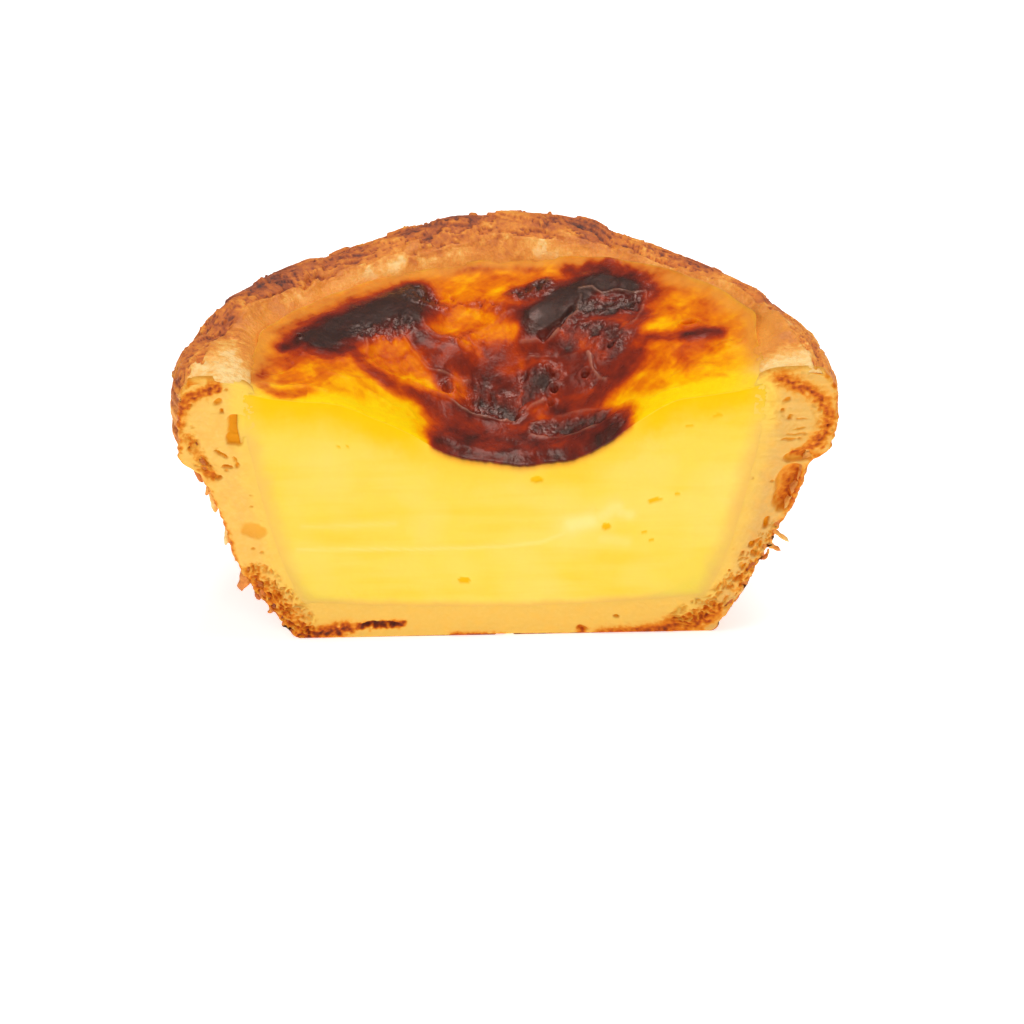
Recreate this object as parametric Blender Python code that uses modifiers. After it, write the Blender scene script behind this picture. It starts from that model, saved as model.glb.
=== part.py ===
"""Half of a baked custard tart: a pastry shell and the custard that fills it.

The whole tart is turned about its own axis and then cut straight through that axis.
Metres, +Z up. The half stands on its flat base with the cut face looking along -Y,
and the origin is under the middle of its bounding box.
"""

import math

import bmesh
import bpy

MM = 0.001

# Driving dimensions of the whole tart
RIM_RADIUS = 36.0 * MM
BASE_RADIUS = 22.5 * MM
CREST_HEIGHT = 33.2 * MM
FLOOR_THICKNESS = 4.1 * MM

# The rolled lip: a squarish ring on top of the wall
LIP_HALF_WIDTH = 4.1 * MM
LIP_HALF_HEIGHT = 4.8 * MM
LIP_SQUARENESS = 2.6
LIP_TUCK_ANGLE = math.radians(-52.0)

# The wall: a flared cup whose flare eases off with height
WALL_FLARE_POWER = 0.68
WALL_TOP_RADIUS = 33.2 * MM
BASE_EDGE_RISE = 0.8 * MM

# The cup that the custard fills
FLOOR_RADIUS = 20.5 * MM
FLOOR_DISH = 0.9 * MM

# Unevenness of the baked pastry
CREST_WAVE = 0.7 * MM
CREST_WAVES_ROUND = 4
WALL_SWELL = 0.5 * MM

# The custard
CONTACT_HEIGHT = 31.1 * MM
CONTACT_TILT = 1.2 * MM
CONTACT_TILT_ANGLE = math.radians(45.0)
SURFACE_DOME = 0.3 * MM
SINK_DEPTH = 8.3 * MM
SINK_CENTRE_X = 2.7 * MM
SINK_REACH_LEFT = 14.9 * MM
SINK_REACH_RIGHT = 11.8 * MM
SINK_REACH_BACK = 14.0 * MM
GAP = 0.3 * MM
GAP_AT_LIP = 0.5 * MM

# Fineness of the turned bodies
TURN_STEPS = 96
WALL_STEPS = 9
LIP_STEPS = 14
CUP_STEPS = 9
FLOOR_STEPS = 4
SURFACE_STEPS = 15
MERGE_DISTANCE = 0.00001

LIP_RADIUS = RIM_RADIUS - LIP_HALF_WIDTH
LIP_HEIGHT = CREST_HEIGHT - LIP_HALF_HEIGHT
CUP_TOP_RADIUS = LIP_RADIUS - LIP_HALF_WIDTH
AXIS_Y = -RIM_RADIUS / 2.0


def clear_scene():
    """Empty the file of whatever it opened with."""
    for obj in list(bpy.data.objects):
        bpy.data.objects.remove(obj)


def smooth_step(value, start, end):
    """Ease from 0 at start to 1 at end."""
    share = min(max((value - start) / (end - start), 0.0), 1.0)
    return share * share * (3.0 - 2.0 * share)


def lip_point(angle):
    """Point (radius, height) on the lip's section, a superellipse; angle 0 faces outward."""
    power = 2.0 / LIP_SQUARENESS
    across = math.copysign(abs(math.cos(angle)) ** power, math.cos(angle))
    upward = math.copysign(abs(math.sin(angle)) ** power, math.sin(angle))
    return LIP_RADIUS + LIP_HALF_WIDTH * across, LIP_HEIGHT + LIP_HALF_HEIGHT * upward


def wall_radius(height):
    """Outer radius of the wall, up to where it tucks under the lip."""
    top = lip_point(LIP_TUCK_ANGLE)[1]
    return BASE_RADIUS + (WALL_TOP_RADIUS - BASE_RADIUS) * (height / top) ** WALL_FLARE_POWER


def cup_radius(height):
    """Radius of the cup inside: a paraboloid to the lip's height, then the lip's inner side."""
    if height <= LIP_HEIGHT:
        share = max(height - FLOOR_THICKNESS, 0.0) / (LIP_HEIGHT - FLOOR_THICKNESS)
        return FLOOR_RADIUS + (CUP_TOP_RADIUS - FLOOR_RADIUS) * math.sqrt(share)
    upward = min((height - LIP_HEIGHT) / LIP_HALF_HEIGHT, 1.0)
    across = (1.0 - upward**LIP_SQUARENESS) ** (1.0 / LIP_SQUARENESS)
    return LIP_RADIUS - LIP_HALF_WIDTH * across


def floor_height(radius):
    """Height of the cup's floor, slightly dished."""
    return FLOOR_THICKNESS + FLOOR_DISH * (radius / FLOOR_RADIUS) ** 2


def cup_section(lift, inset, top):
    """Points (radius, height) along the cup from the axis to the height called top.

    lift raises the floor and inset narrows the wall, so that the filling clears the shell.
    """
    points = []
    for step in range(FLOOR_STEPS):
        radius = (FLOOR_RADIUS - inset) * step / FLOOR_STEPS
        points.append((radius, floor_height(radius) + lift))
    low = floor_height(FLOOR_RADIUS) + lift
    for step in range(CUP_STEPS + 1):
        height = low + (top - low) * (step / CUP_STEPS) ** 1.5
        points.append((cup_radius(height) - inset, height))
    return points


def shell_profile():
    """Section of the pastry shell, from the cup's floor over the lip and down to the base."""
    points = cup_section(0.0, 0.0, LIP_HEIGHT)
    for step in range(1, LIP_STEPS + 1):
        angle = math.pi + (LIP_TUCK_ANGLE - math.pi) * step / LIP_STEPS
        points.append(lip_point(angle))
    top = lip_point(LIP_TUCK_ANGLE)[1]
    for step in range(1, WALL_STEPS + 1):
        height = top + (BASE_EDGE_RISE - top) * step / WALL_STEPS
        points.append((wall_radius(height), height))
    points.append((BASE_RADIUS, 0.0))
    points.append((0.0, 0.0))
    return points


def custard_profile():
    """Section of the filling with a flat top, from the middle of the top to the cup's floor."""
    side = cup_section(GAP, GAP, CONTACT_HEIGHT)
    edge_radius = side[-1][0]
    top = [(edge_radius * step / SURFACE_STEPS, CONTACT_HEIGHT) for step in range(SURFACE_STEPS)]
    return top + list(reversed(side))


def crest_rise(angle):
    """How far the lip stands above its mean height, by the angle round the tart."""
    return CREST_WAVE * math.cos(CREST_WAVES_ROUND * angle)


def wall_swell(angle):
    """How far the outside swells, nil at both ends of the cut and at the back."""
    return WALL_SWELL * math.sin(2.0 * angle) * math.cos(3.0 * angle + 0.6)


def contact_height(angle):
    """Height at which the custard meets the pastry, by the angle round the tart."""
    return CONTACT_HEIGHT + CONTACT_TILT * math.cos(2.0 * angle - CONTACT_TILT_ANGLE)


def sink(x, y):
    """Depth of the sunken middle at a place measured from the tart's axis."""
    reach_x = SINK_REACH_LEFT if x < SINK_CENTRE_X else SINK_REACH_RIGHT
    distance = math.hypot((x - SINK_CENTRE_X) / reach_x, y / SINK_REACH_BACK)
    return SINK_DEPTH * math.exp(-(distance**3))


def custard_height(x, y):
    """Height of the custard's top at a place measured from the tart's axis."""
    share = min(math.hypot(x, y) / CUP_TOP_RADIUS, 1.0)
    edge = CONTACT_HEIGHT + (contact_height(math.atan2(y, x)) - CONTACT_HEIGHT) * share**2
    return edge + SURFACE_DOME * (1.0 - share**2) - sink(x, y)


def turned_mesh(name, profile):
    """Turn a section about the vertical axis and return it as a closed mesh."""
    section = bpy.data.meshes.new(name + "_section")
    section.from_pydata(
        [(radius, 0.0, height) for radius, height in profile],
        [(i, i + 1) for i in range(len(profile) - 1)],
        [],
    )
    obj = bpy.data.objects.new(name + "_section", section)
    bpy.context.scene.collection.objects.link(obj)
    screw = obj.modifiers.new("turn", "SCREW")
    screw.axis = "Z"
    screw.angle = 2.0 * math.pi
    screw.steps = TURN_STEPS
    screw.render_steps = TURN_STEPS
    screw.use_merge_vertices = True
    screw.merge_threshold = MERGE_DISTANCE
    evaluated = obj.evaluated_get(bpy.context.evaluated_depsgraph_get())
    mesh = bpy.data.meshes.new_from_object(evaluated)
    mesh.name = name
    bpy.data.objects.remove(obj)
    return mesh


def reshape(mesh, move):
    """Pass every vertex as (radius, angle, height) through move, which returns it changed.

    Angles are measured with the columns turned half a step, so that none lies in the cut.
    """
    half_step = math.pi / TURN_STEPS
    body = bmesh.new()
    body.from_mesh(mesh)
    for vertex in body.verts:
        radius = math.hypot(vertex.co.x, vertex.co.y)
        angle = math.atan2(vertex.co.y, vertex.co.x) + half_step
        radius, height = move(radius, angle, vertex.co.z)
        vertex.co = (radius * math.cos(angle), radius * math.sin(angle), height)
    body.to_mesh(mesh)
    body.free()


def uneven_shell(radius, angle, height):
    """Wave the lip's crest and swell the outside; the cup and the base stay true."""
    upper = smooth_step(height, LIP_HEIGHT, CREST_HEIGHT)
    outer = smooth_step(radius - cup_radius(height), 0.4 * LIP_HALF_WIDTH, LIP_HALF_WIDTH)
    above_base = smooth_step(height, 0.0, 4.0 * BASE_EDGE_RISE)
    radius += wall_swell(angle) * outer * above_base
    return radius, height + crest_rise(angle) * upper


def sunken_custard(radius, angle, height):
    """Give the flat top its real height, and let the side follow the cup up to it."""
    if height > CONTACT_HEIGHT - MERGE_DISTANCE:
        edge = cup_radius(contact_height(angle)) - GAP_AT_LIP
        radius *= edge / (cup_radius(CONTACT_HEIGHT) - GAP)
        return radius, custard_height(radius * math.cos(angle), radius * math.sin(angle))
    floor = floor_height(radius) + GAP
    share = (height - FLOOR_THICKNESS - GAP) / (CONTACT_HEIGHT - FLOOR_THICKNESS - GAP)
    if height > floor + MERGE_DISTANCE:
        height += (contact_height(angle) - CONTACT_HEIGHT) * share**2
        radius = cup_radius(height) - GAP - (GAP_AT_LIP - GAP) * share**2
    return radius, height


def plain_material(name, colour, roughness):
    """A Principled material of one colour."""
    material = bpy.data.materials.new(name)
    material.use_nodes = True
    shader = material.node_tree.nodes["Principled BSDF"]
    shader.inputs["Base Color"].default_value = (*colour, 1.0)
    shader.inputs["Roughness"].default_value = roughness
    shader.inputs["Metallic"].default_value = 0.0
    return material


def cutting_block(collection):
    """A block that takes away everything in front of the tart's axis."""
    side = 4.0 * RIM_RADIUS
    bpy.ops.mesh.primitive_cube_add(size=side, location=(0.0, AXIS_Y - side / 2.0, 0.0))
    block = bpy.context.active_object
    block.name = "knife_cut"
    for owner in list(block.users_collection):
        owner.objects.unlink(block)
    collection.objects.link(block)
    block.hide_render = True
    block.display_type = "WIRE"
    return block


def half_body(name, mesh, material, block, collection):
    """Place a turned body on the tart's axis and keep the half behind the cut."""
    mesh.materials.clear()
    mesh.materials.append(material)
    mesh.shade_smooth()
    mesh.set_sharp_from_angle(angle=math.radians(50.0))
    obj = bpy.data.objects.new(name, mesh)
    obj.location = (0.0, AXIS_Y, 0.0)
    collection.objects.link(obj)
    cut = obj.modifiers.new("half", "BOOLEAN")
    cut.operation = "DIFFERENCE"
    cut.solver = "EXACT"
    cut.object = block
    return obj


def build_shell(block, collection):
    """The pastry: floor, flared wall and rolled lip in one piece."""
    mesh = turned_mesh("pastry_shell", shell_profile())
    reshape(mesh, uneven_shell)
    pastry = plain_material("baked_pastry", (0.72, 0.40, 0.15), 0.7)
    return half_body("pastry_shell", mesh, pastry, block, collection)


def build_custard(block, collection):
    """The filling: it fits the cup and is sunken in the middle."""
    mesh = turned_mesh("custard", custard_profile())
    reshape(mesh, sunken_custard)
    egg_custard = plain_material("egg_custard", (0.95, 0.62, 0.07), 0.4)
    return half_body("custard", mesh, egg_custard, block, collection)


def main():
    """Build the half tart."""
    clear_scene()
    tart = bpy.data.collections.new("half_custard_tart")
    cutters = bpy.data.collections.new("cutters")
    bpy.context.scene.collection.children.link(tart)
    bpy.context.scene.collection.children.link(cutters)
    block = cutting_block(cutters)
    build_shell(block, tart)
    build_custard(block, tart)


main()
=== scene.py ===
"""Looks of a baked custard tart that was cut in half.

Every length in the classes below is in millimetres. A place on the custard's top is
given as (across, behind): across the cut to the right of the tart's axis, and behind
the cut. A place on the cut is given as (across, height). Angles go round the tart's
axis from the right end of the cut, over the round back, to its left end.
"""

import logging
import math
from dataclasses import dataclass, field
from enum import Enum

import bpy
import numpy as np
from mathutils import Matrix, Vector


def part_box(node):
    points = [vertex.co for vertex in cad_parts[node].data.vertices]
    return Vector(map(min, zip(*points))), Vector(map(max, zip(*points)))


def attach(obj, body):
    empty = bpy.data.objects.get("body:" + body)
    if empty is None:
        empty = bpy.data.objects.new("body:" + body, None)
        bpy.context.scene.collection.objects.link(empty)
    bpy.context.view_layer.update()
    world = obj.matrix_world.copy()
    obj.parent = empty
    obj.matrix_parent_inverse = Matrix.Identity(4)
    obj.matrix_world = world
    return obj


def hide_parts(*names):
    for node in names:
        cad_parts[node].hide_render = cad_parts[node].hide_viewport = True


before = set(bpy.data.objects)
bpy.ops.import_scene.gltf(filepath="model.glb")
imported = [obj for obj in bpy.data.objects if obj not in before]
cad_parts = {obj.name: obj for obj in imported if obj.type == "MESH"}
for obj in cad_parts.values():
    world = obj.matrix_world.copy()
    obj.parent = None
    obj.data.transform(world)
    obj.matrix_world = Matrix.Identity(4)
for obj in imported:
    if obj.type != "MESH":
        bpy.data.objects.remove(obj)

Array = np.ndarray
Trace = tuple[tuple[float, float], ...]
Colour = tuple[float, float, float, float]
Fields = dict[str, Array]
Socket = bpy.types.NodeSocket

MM = 0.001
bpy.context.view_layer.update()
BODY = "root"
PASTRY_FIELDS = ("bake", "glaze", "roughness")
log = logging.getLogger("half_tart")


# Noise


def lattice_random(cell: Array, seed: int) -> Array:
    """Mix whole-numbered cells into numbers from 0 to 1.

    Args:
        cell: Cell numbers, three in the last axis.
        seed: Picks another set of numbers.

    Returns:
        One number for each cell.
    """
    key = cell[..., 0] * 374761393 + cell[..., 1] * 668265263 + cell[..., 2] * 1274126177
    key = key + seed * 974634777
    key = (key ^ (key >> 13)) * 1103515245
    key = (key ^ (key >> 15)) * 668265263
    return ((key ^ (key >> 17)) & 0xFFFFFF) / float(0xFFFFFF)


def noise(points: Array, seed: int = 0) -> Array:
    """Gradient noise: each lattice corner has a random slope, blended by a fifth-power fade.

    Args:
        points: Places, three numbers in the last axis, in cells.
        seed: Picks another pattern.

    Returns:
        Values from about -1 to 1.
    """
    base = np.floor(points)
    part = points - base
    cell = base.astype(np.int64)
    fade = part**3 * (part * (part * 6.0 - 15.0) + 10.0)
    total = np.zeros(points.shape[:-1])
    for corner in np.ndindex(2, 2, 2):
        step = np.array(corner)
        slope = [lattice_random(cell + step, seed * 3 + axis) * 2.0 - 1.0 for axis in range(3)]
        rise = ((part - step) * np.stack(slope, axis=-1)).sum(axis=-1)
        total += rise * np.prod(np.where(step == 1, fade, 1.0 - fade), axis=-1)
    return total * 1.7


def fractal(points: Array, octaves: int, seed: int = 0, gain: float = 0.5) -> Array:
    """Sum of noises, each at twice the frequency and gain times the height of the last."""
    total = np.zeros(points.shape[:-1])
    height, scale, reach = 1.0, 1.0, 0.0
    for octave in range(octaves):
        total += height * noise(points * scale, seed + 17 * octave)
        reach += height
        height *= gain
        scale *= 2.03
    return total / reach


def creases(points: Array, octaves: int, seed: int = 0) -> Array:
    """Sharp crests where a noise passes through nought: one less its size, squared and summed."""
    total = np.zeros(points.shape[:-1])
    height, scale, reach = 1.0, 1.0, 0.0
    for octave in range(octaves):
        total += height * (1.0 - np.abs(noise(points * scale, seed + 31 * octave))) ** 4
        reach += height
        height *= 0.55
        scale *= 2.1
    return total / reach


def cells(points: Array, seed: int = 0) -> tuple[Array, Array, Array]:
    """Cells round scattered points, one point to each lattice cell.

    Args:
        points: Places, three numbers in the last axis, in cells.
        seed: Picks another scatter.

    Returns:
        Distance to the nearest point and to the second nearest, and the nearest one's own
        number from 0 to 1.
    """
    base = np.floor(points).astype(np.int64)
    near = np.full(points.shape[:-1], 9.0)
    second = near.copy()
    tag = np.zeros_like(near)
    for offset in np.ndindex(3, 3, 3):
        cell = base + np.array(offset) - 1
        spot = cell + np.stack([lattice_random(cell, seed * 5 + axis) for axis in range(3)], axis=-1)
        distance = np.sqrt(((spot - points) ** 2).sum(axis=-1))
        closer = distance < near
        second = np.where(closer, near, np.minimum(second, distance))
        tag = np.where(closer, lattice_random(cell, seed * 5 + 3), tag)
        near = np.where(closer, distance, near)
    return near, second, tag


def pinholes(points: Array, seed: int, floor: float, brink: float, bare: float) -> Array:
    """Round holes: 1 on the floor, 0 past the brink, and a share of the cells left bare."""
    near, _, tag = cells(points, seed)
    return fall(near, floor, brink) * (tag > bare)


def terraces(level: Array, count: float, flat: float, brittle: float) -> tuple[Array, Array]:
    """Turn a smooth level into flat layers with steep edges.

    Args:
        level: Height from about -1 to 1.
        count: Number of layers in a height of 1.
        flat: Share of a layer's width that is flat.
        brittle: Share at which its broken edge begins.

    Returns:
        The layered height from 0 up, and 1 at the broken edges.
    """
    level = level * count + 2.0
    part = level - np.floor(level)
    brink = climb(part, brittle, 0.84) * (1.0 - climb(part, 0.9, 1.0))
    return np.clip((np.floor(level) + climb(part, flat, 1.0)) / count, 0.0, 1.2), brink


def aside(*parts: Array) -> Array:
    """Lay arrays beside each other in a new last axis."""
    return np.stack(parts, axis=-1)


def climb(value: Array, start: float, end: float) -> Array:
    """Ease from 0 at start to 1 at end."""
    share = np.clip((value - start) / (end - start), 0.0, 1.0)
    return share * share * (3.0 - 2.0 * share)


def fall(value: Array, start: float, end: float) -> Array:
    """Ease from 1 at start to 0 at end."""
    return 1.0 - climb(value, start, end)


def limit(value: Array) -> Array:
    """Cut off below 0 and above 1."""
    return np.clip(value, 0.0, 1.0)


def mix(first: Array, second: Array, share: Array) -> Array:
    """Go from first to second by share."""
    return first + (second - first) * share


def spots(first: Array, second: Array, third: float = 0.0) -> Array:
    """Stack two arrays and a fixed third number as places for a noise."""
    first, second = np.broadcast_arrays(first, second)
    return aside(first, second, np.full(first.shape, third))


# Marks drawn on a surface


def trace_distance(trace: Trace, first: Array, second: Array) -> Array:
    """Distance from every place to a line through a trace's points.

    Args:
        trace: The line's points.
        first: First numbers of the places.
        second: Second numbers of the places.

    Returns:
        The shortest distance to any stretch of the line.
    """
    best = np.full(first.shape, np.inf)
    ends = trace[1:] if len(trace) > 1 else trace
    for (x0, y0), (x1, y1) in zip(trace, ends):
        along_x, along_y = x1 - x0, y1 - y0
        length = max(along_x**2 + along_y**2, 1e-9)
        share = limit(((first - x0) * along_x + (second - y0) * along_y) / length)
        gap = np.hypot(first - x0 - share * along_x, second - y0 - share * along_y)
        best = np.minimum(best, gap)
    return best


@dataclass(frozen=True)
class Stroke:
    """A soft line on a surface: full on its trace, half at its reach, with a long tail."""

    trace: Trace
    reach: float
    amount: float
    edge: float = 3.0

    def cover(self, first: Array, second: Array) -> Array:
        """Share from 0 to 1 of the stroke at each place."""
        gap = trace_distance(self.trace, first, second) / self.reach
        return 1.0 / (1.0 + gap**self.edge)


@dataclass(frozen=True)
class Pocket:
    """A squarish hollow on the cut: centre, half sizes, turn in degrees and depth."""

    across: float
    height: float
    half_width: float
    half_height: float
    turn: float
    depth: float
    squareness: float = 2.6

    def cover(self, across: Array, height: Array) -> Array:
        """Share from 0 at the brink to 1 on the floor."""
        angle = math.radians(self.turn)
        dx, dz = across - self.across, height - self.height
        along = np.abs(dx * math.cos(angle) + dz * math.sin(angle)) / self.half_width
        upward = np.abs(dz * math.cos(angle) - dx * math.sin(angle)) / self.half_height
        gap = (along**self.squareness + upward**self.squareness) ** (1.0 / self.squareness)
        return fall(gap, 0.72, 1.02)


def each(kind: type, *rows: tuple) -> tuple:
    """One object of a kind from each row of its values."""
    return tuple(kind(*row) for row in rows)


def gather(marks: tuple[Stroke, ...], first: Array, second: Array, power: float = 5.5) -> Array:
    """Join strokes by a soft maximum: the root of the sum of their powers."""
    total = np.zeros(first.shape)
    for stroke in marks:
        total += (abs(stroke.amount) * stroke.cover(first, second)) ** power
    return np.minimum(total ** (1.0 / power), 1.0)


def crumb_tan(across: Array, height: Array) -> Array:
    """How tan the pastry's inside is: pale at the left, darker low down and at the right."""
    bottom = fall(height, 3.0, 10.0)
    right = climb(across, 12.0, 28.0) * (0.85 - 0.3 * climb(height, 16.0, 29.0))
    return limit(np.maximum(bottom, right) + 0.12)


# Meshes from grids of points


class MeshMaker:
    """Gathers points, their fields and faces, and writes them as one mesh."""

    def __init__(self, fields: tuple[str, ...]) -> None:
        """Start empty, with the names of the fields that every point has."""
        self.names = fields
        self.points: list[Array] = []
        self.values: dict[str, list[Array]] = {name: [] for name in fields}
        self.quads: list[Array] = []
        self.triangles: list[Array] = []
        self.count = 0

    def add_points(self, points: Array, fields: Fields) -> Array:
        """Add places in millimetres.

        Args:
            points: Places, three numbers in the last axis.
            fields: Values for some of the fields; the others are nought.

        Returns:
            The new points' numbers, in the shape of the grid.
        """
        shape = points.shape[:-1]
        size = int(np.prod(shape))
        self.points.append(points.reshape(-1, 3))
        for name in self.names:
            value = np.broadcast_to(fields.get(name, 0.0), shape)
            self.values[name].append(np.asarray(value, dtype=float).reshape(-1))
        index = np.arange(self.count, self.count + size).reshape(shape)
        self.count += size
        return index

    def add_grid(self, index: Array, turned: bool = False) -> None:
        """Fill a grid of point numbers with four-sided faces."""
        corners = [index[:-1, :-1], index[1:, :-1], index[1:, 1:], index[:-1, 1:]]
        faces = np.stack([corner.reshape(-1) for corner in corners], axis=-1)
        self.quads.append(faces[:, ::-1] if turned else faces)

    def add_zip(self, first: Array, second: Array, turned: bool = False) -> None:
        """Join two chains of different counts with triangles, in step with their shares.

        Args:
            first: Points of one chain.
            second: Points of the other, in the same direction.
            turned: Faces the other way.
        """
        first_share = np.linspace(0.0, 1.0, len(first))
        second_share = np.linspace(0.0, 1.0, len(second))
        met = np.searchsorted(second_share[1:], first_share[1:], side="left")
        left = aside(first[:-1], first[1:], second[met])
        met = np.searchsorted(first_share[1:], second_share[1:], side="right")
        right = aside(first[met], second[1:], second[:-1])
        faces = np.concatenate([left, right])
        self.triangles.append(faces[:, ::-1] if turned else faces)

    def add_fan(self, hub: int, ring: Array, turned: bool = False) -> None:
        """Fill an open ring of point numbers with triangles from a hub."""
        faces = aside(np.full(len(ring) - 1, hub), ring[:-1], ring[1:])
        self.triangles.append(faces[:, ::-1] if turned else faces)

    def close_end(self, crest: int, inner: Array, outer: Array, turned: bool) -> None:
        """Fill the end of a section whose inner and outer chain start at a crest."""
        self.add_zip(inner, outer, turned=turned)
        corner = np.array([[crest, inner[0], outer[0]]])
        self.triangles.append(corner[:, ::-1] if turned else corner)

    def build(self, name: str, material: bpy.types.Material) -> bpy.types.Object:
        """Write the mesh in metres, smooth shaded, with its fields as attributes.

        Args:
            name: Name of the object and its mesh.
            material: Its material.

        Returns:
            The object, linked to the scene.
        """
        quads = np.concatenate(self.quads) if self.quads else np.zeros((0, 4), dtype=int)
        triangles = np.concatenate(self.triangles) if self.triangles else np.zeros((0, 3), dtype=int)
        loops = np.concatenate([quads.reshape(-1), triangles.reshape(-1)]).astype(np.int32)
        sides = np.concatenate([np.full(len(quads), 4), np.full(len(triangles), 3)])
        starts = np.concatenate([[0], np.cumsum(sides)[:-1]]).astype(np.int32)
        mesh = bpy.data.meshes.new(name)
        mesh.vertices.add(self.count)
        places = np.concatenate(self.points) * MM
        mesh.vertices.foreach_set("co", places.astype(np.float32).reshape(-1))
        mesh.loops.add(len(loops))
        mesh.loops.foreach_set("vertex_index", loops)
        mesh.polygons.add(len(starts))
        mesh.polygons.foreach_set("loop_start", starts)
        mesh.update(calc_edges=True)
        for field_name in self.names:
            values = np.concatenate(self.values[field_name]).astype(np.float32)
            mesh.attributes.new(field_name, "FLOAT", "POINT").data.foreach_set("value", values)
        mesh.shade_smooth()
        mesh.materials.append(material)
        obj = bpy.data.objects.new(name, mesh)
        bpy.context.scene.collection.objects.link(obj)
        return obj


def grid_normals(points: Array) -> Array:
    """Unit normals of a grid of places: the cross product of its two directions."""
    normal = np.cross(np.gradient(points, axis=0), np.gradient(points, axis=1))
    length = np.linalg.norm(normal, axis=-1, keepdims=True)
    return normal / np.maximum(length, 1e-9)


def walked(places: Array) -> Array:
    """Length of the way from the first place to each other, along the first axis."""
    return np.cumsum(np.linalg.norm(np.diff(places, axis=0, prepend=places[:1]), axis=-1), axis=0)


def polar(radius: Array, angle: Array, height: Array, cut_y: float) -> Array:
    """Places from a radius and an angle round the tart's axis, which lies in the cut."""
    return aside(radius * np.cos(angle), cut_y + radius * np.sin(angle), height)


# The tart's form, the same as the solids'


@dataclass(frozen=True)
class Bulge:
    """A soft swelling of the outer wall, round an angle in degrees and a height."""

    angle: float
    height: float
    spread_angle: float
    spread_height: float
    size: float

    def rise(self, angle: Array, height: Array) -> Array:
        """Outward rise: a bell curve in both directions."""
        turn = (np.degrees(angle) - self.angle) / self.spread_angle
        lift = (height - self.height) / self.spread_height
        return self.size * np.exp(-(turn**2) - lift**2)


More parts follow.
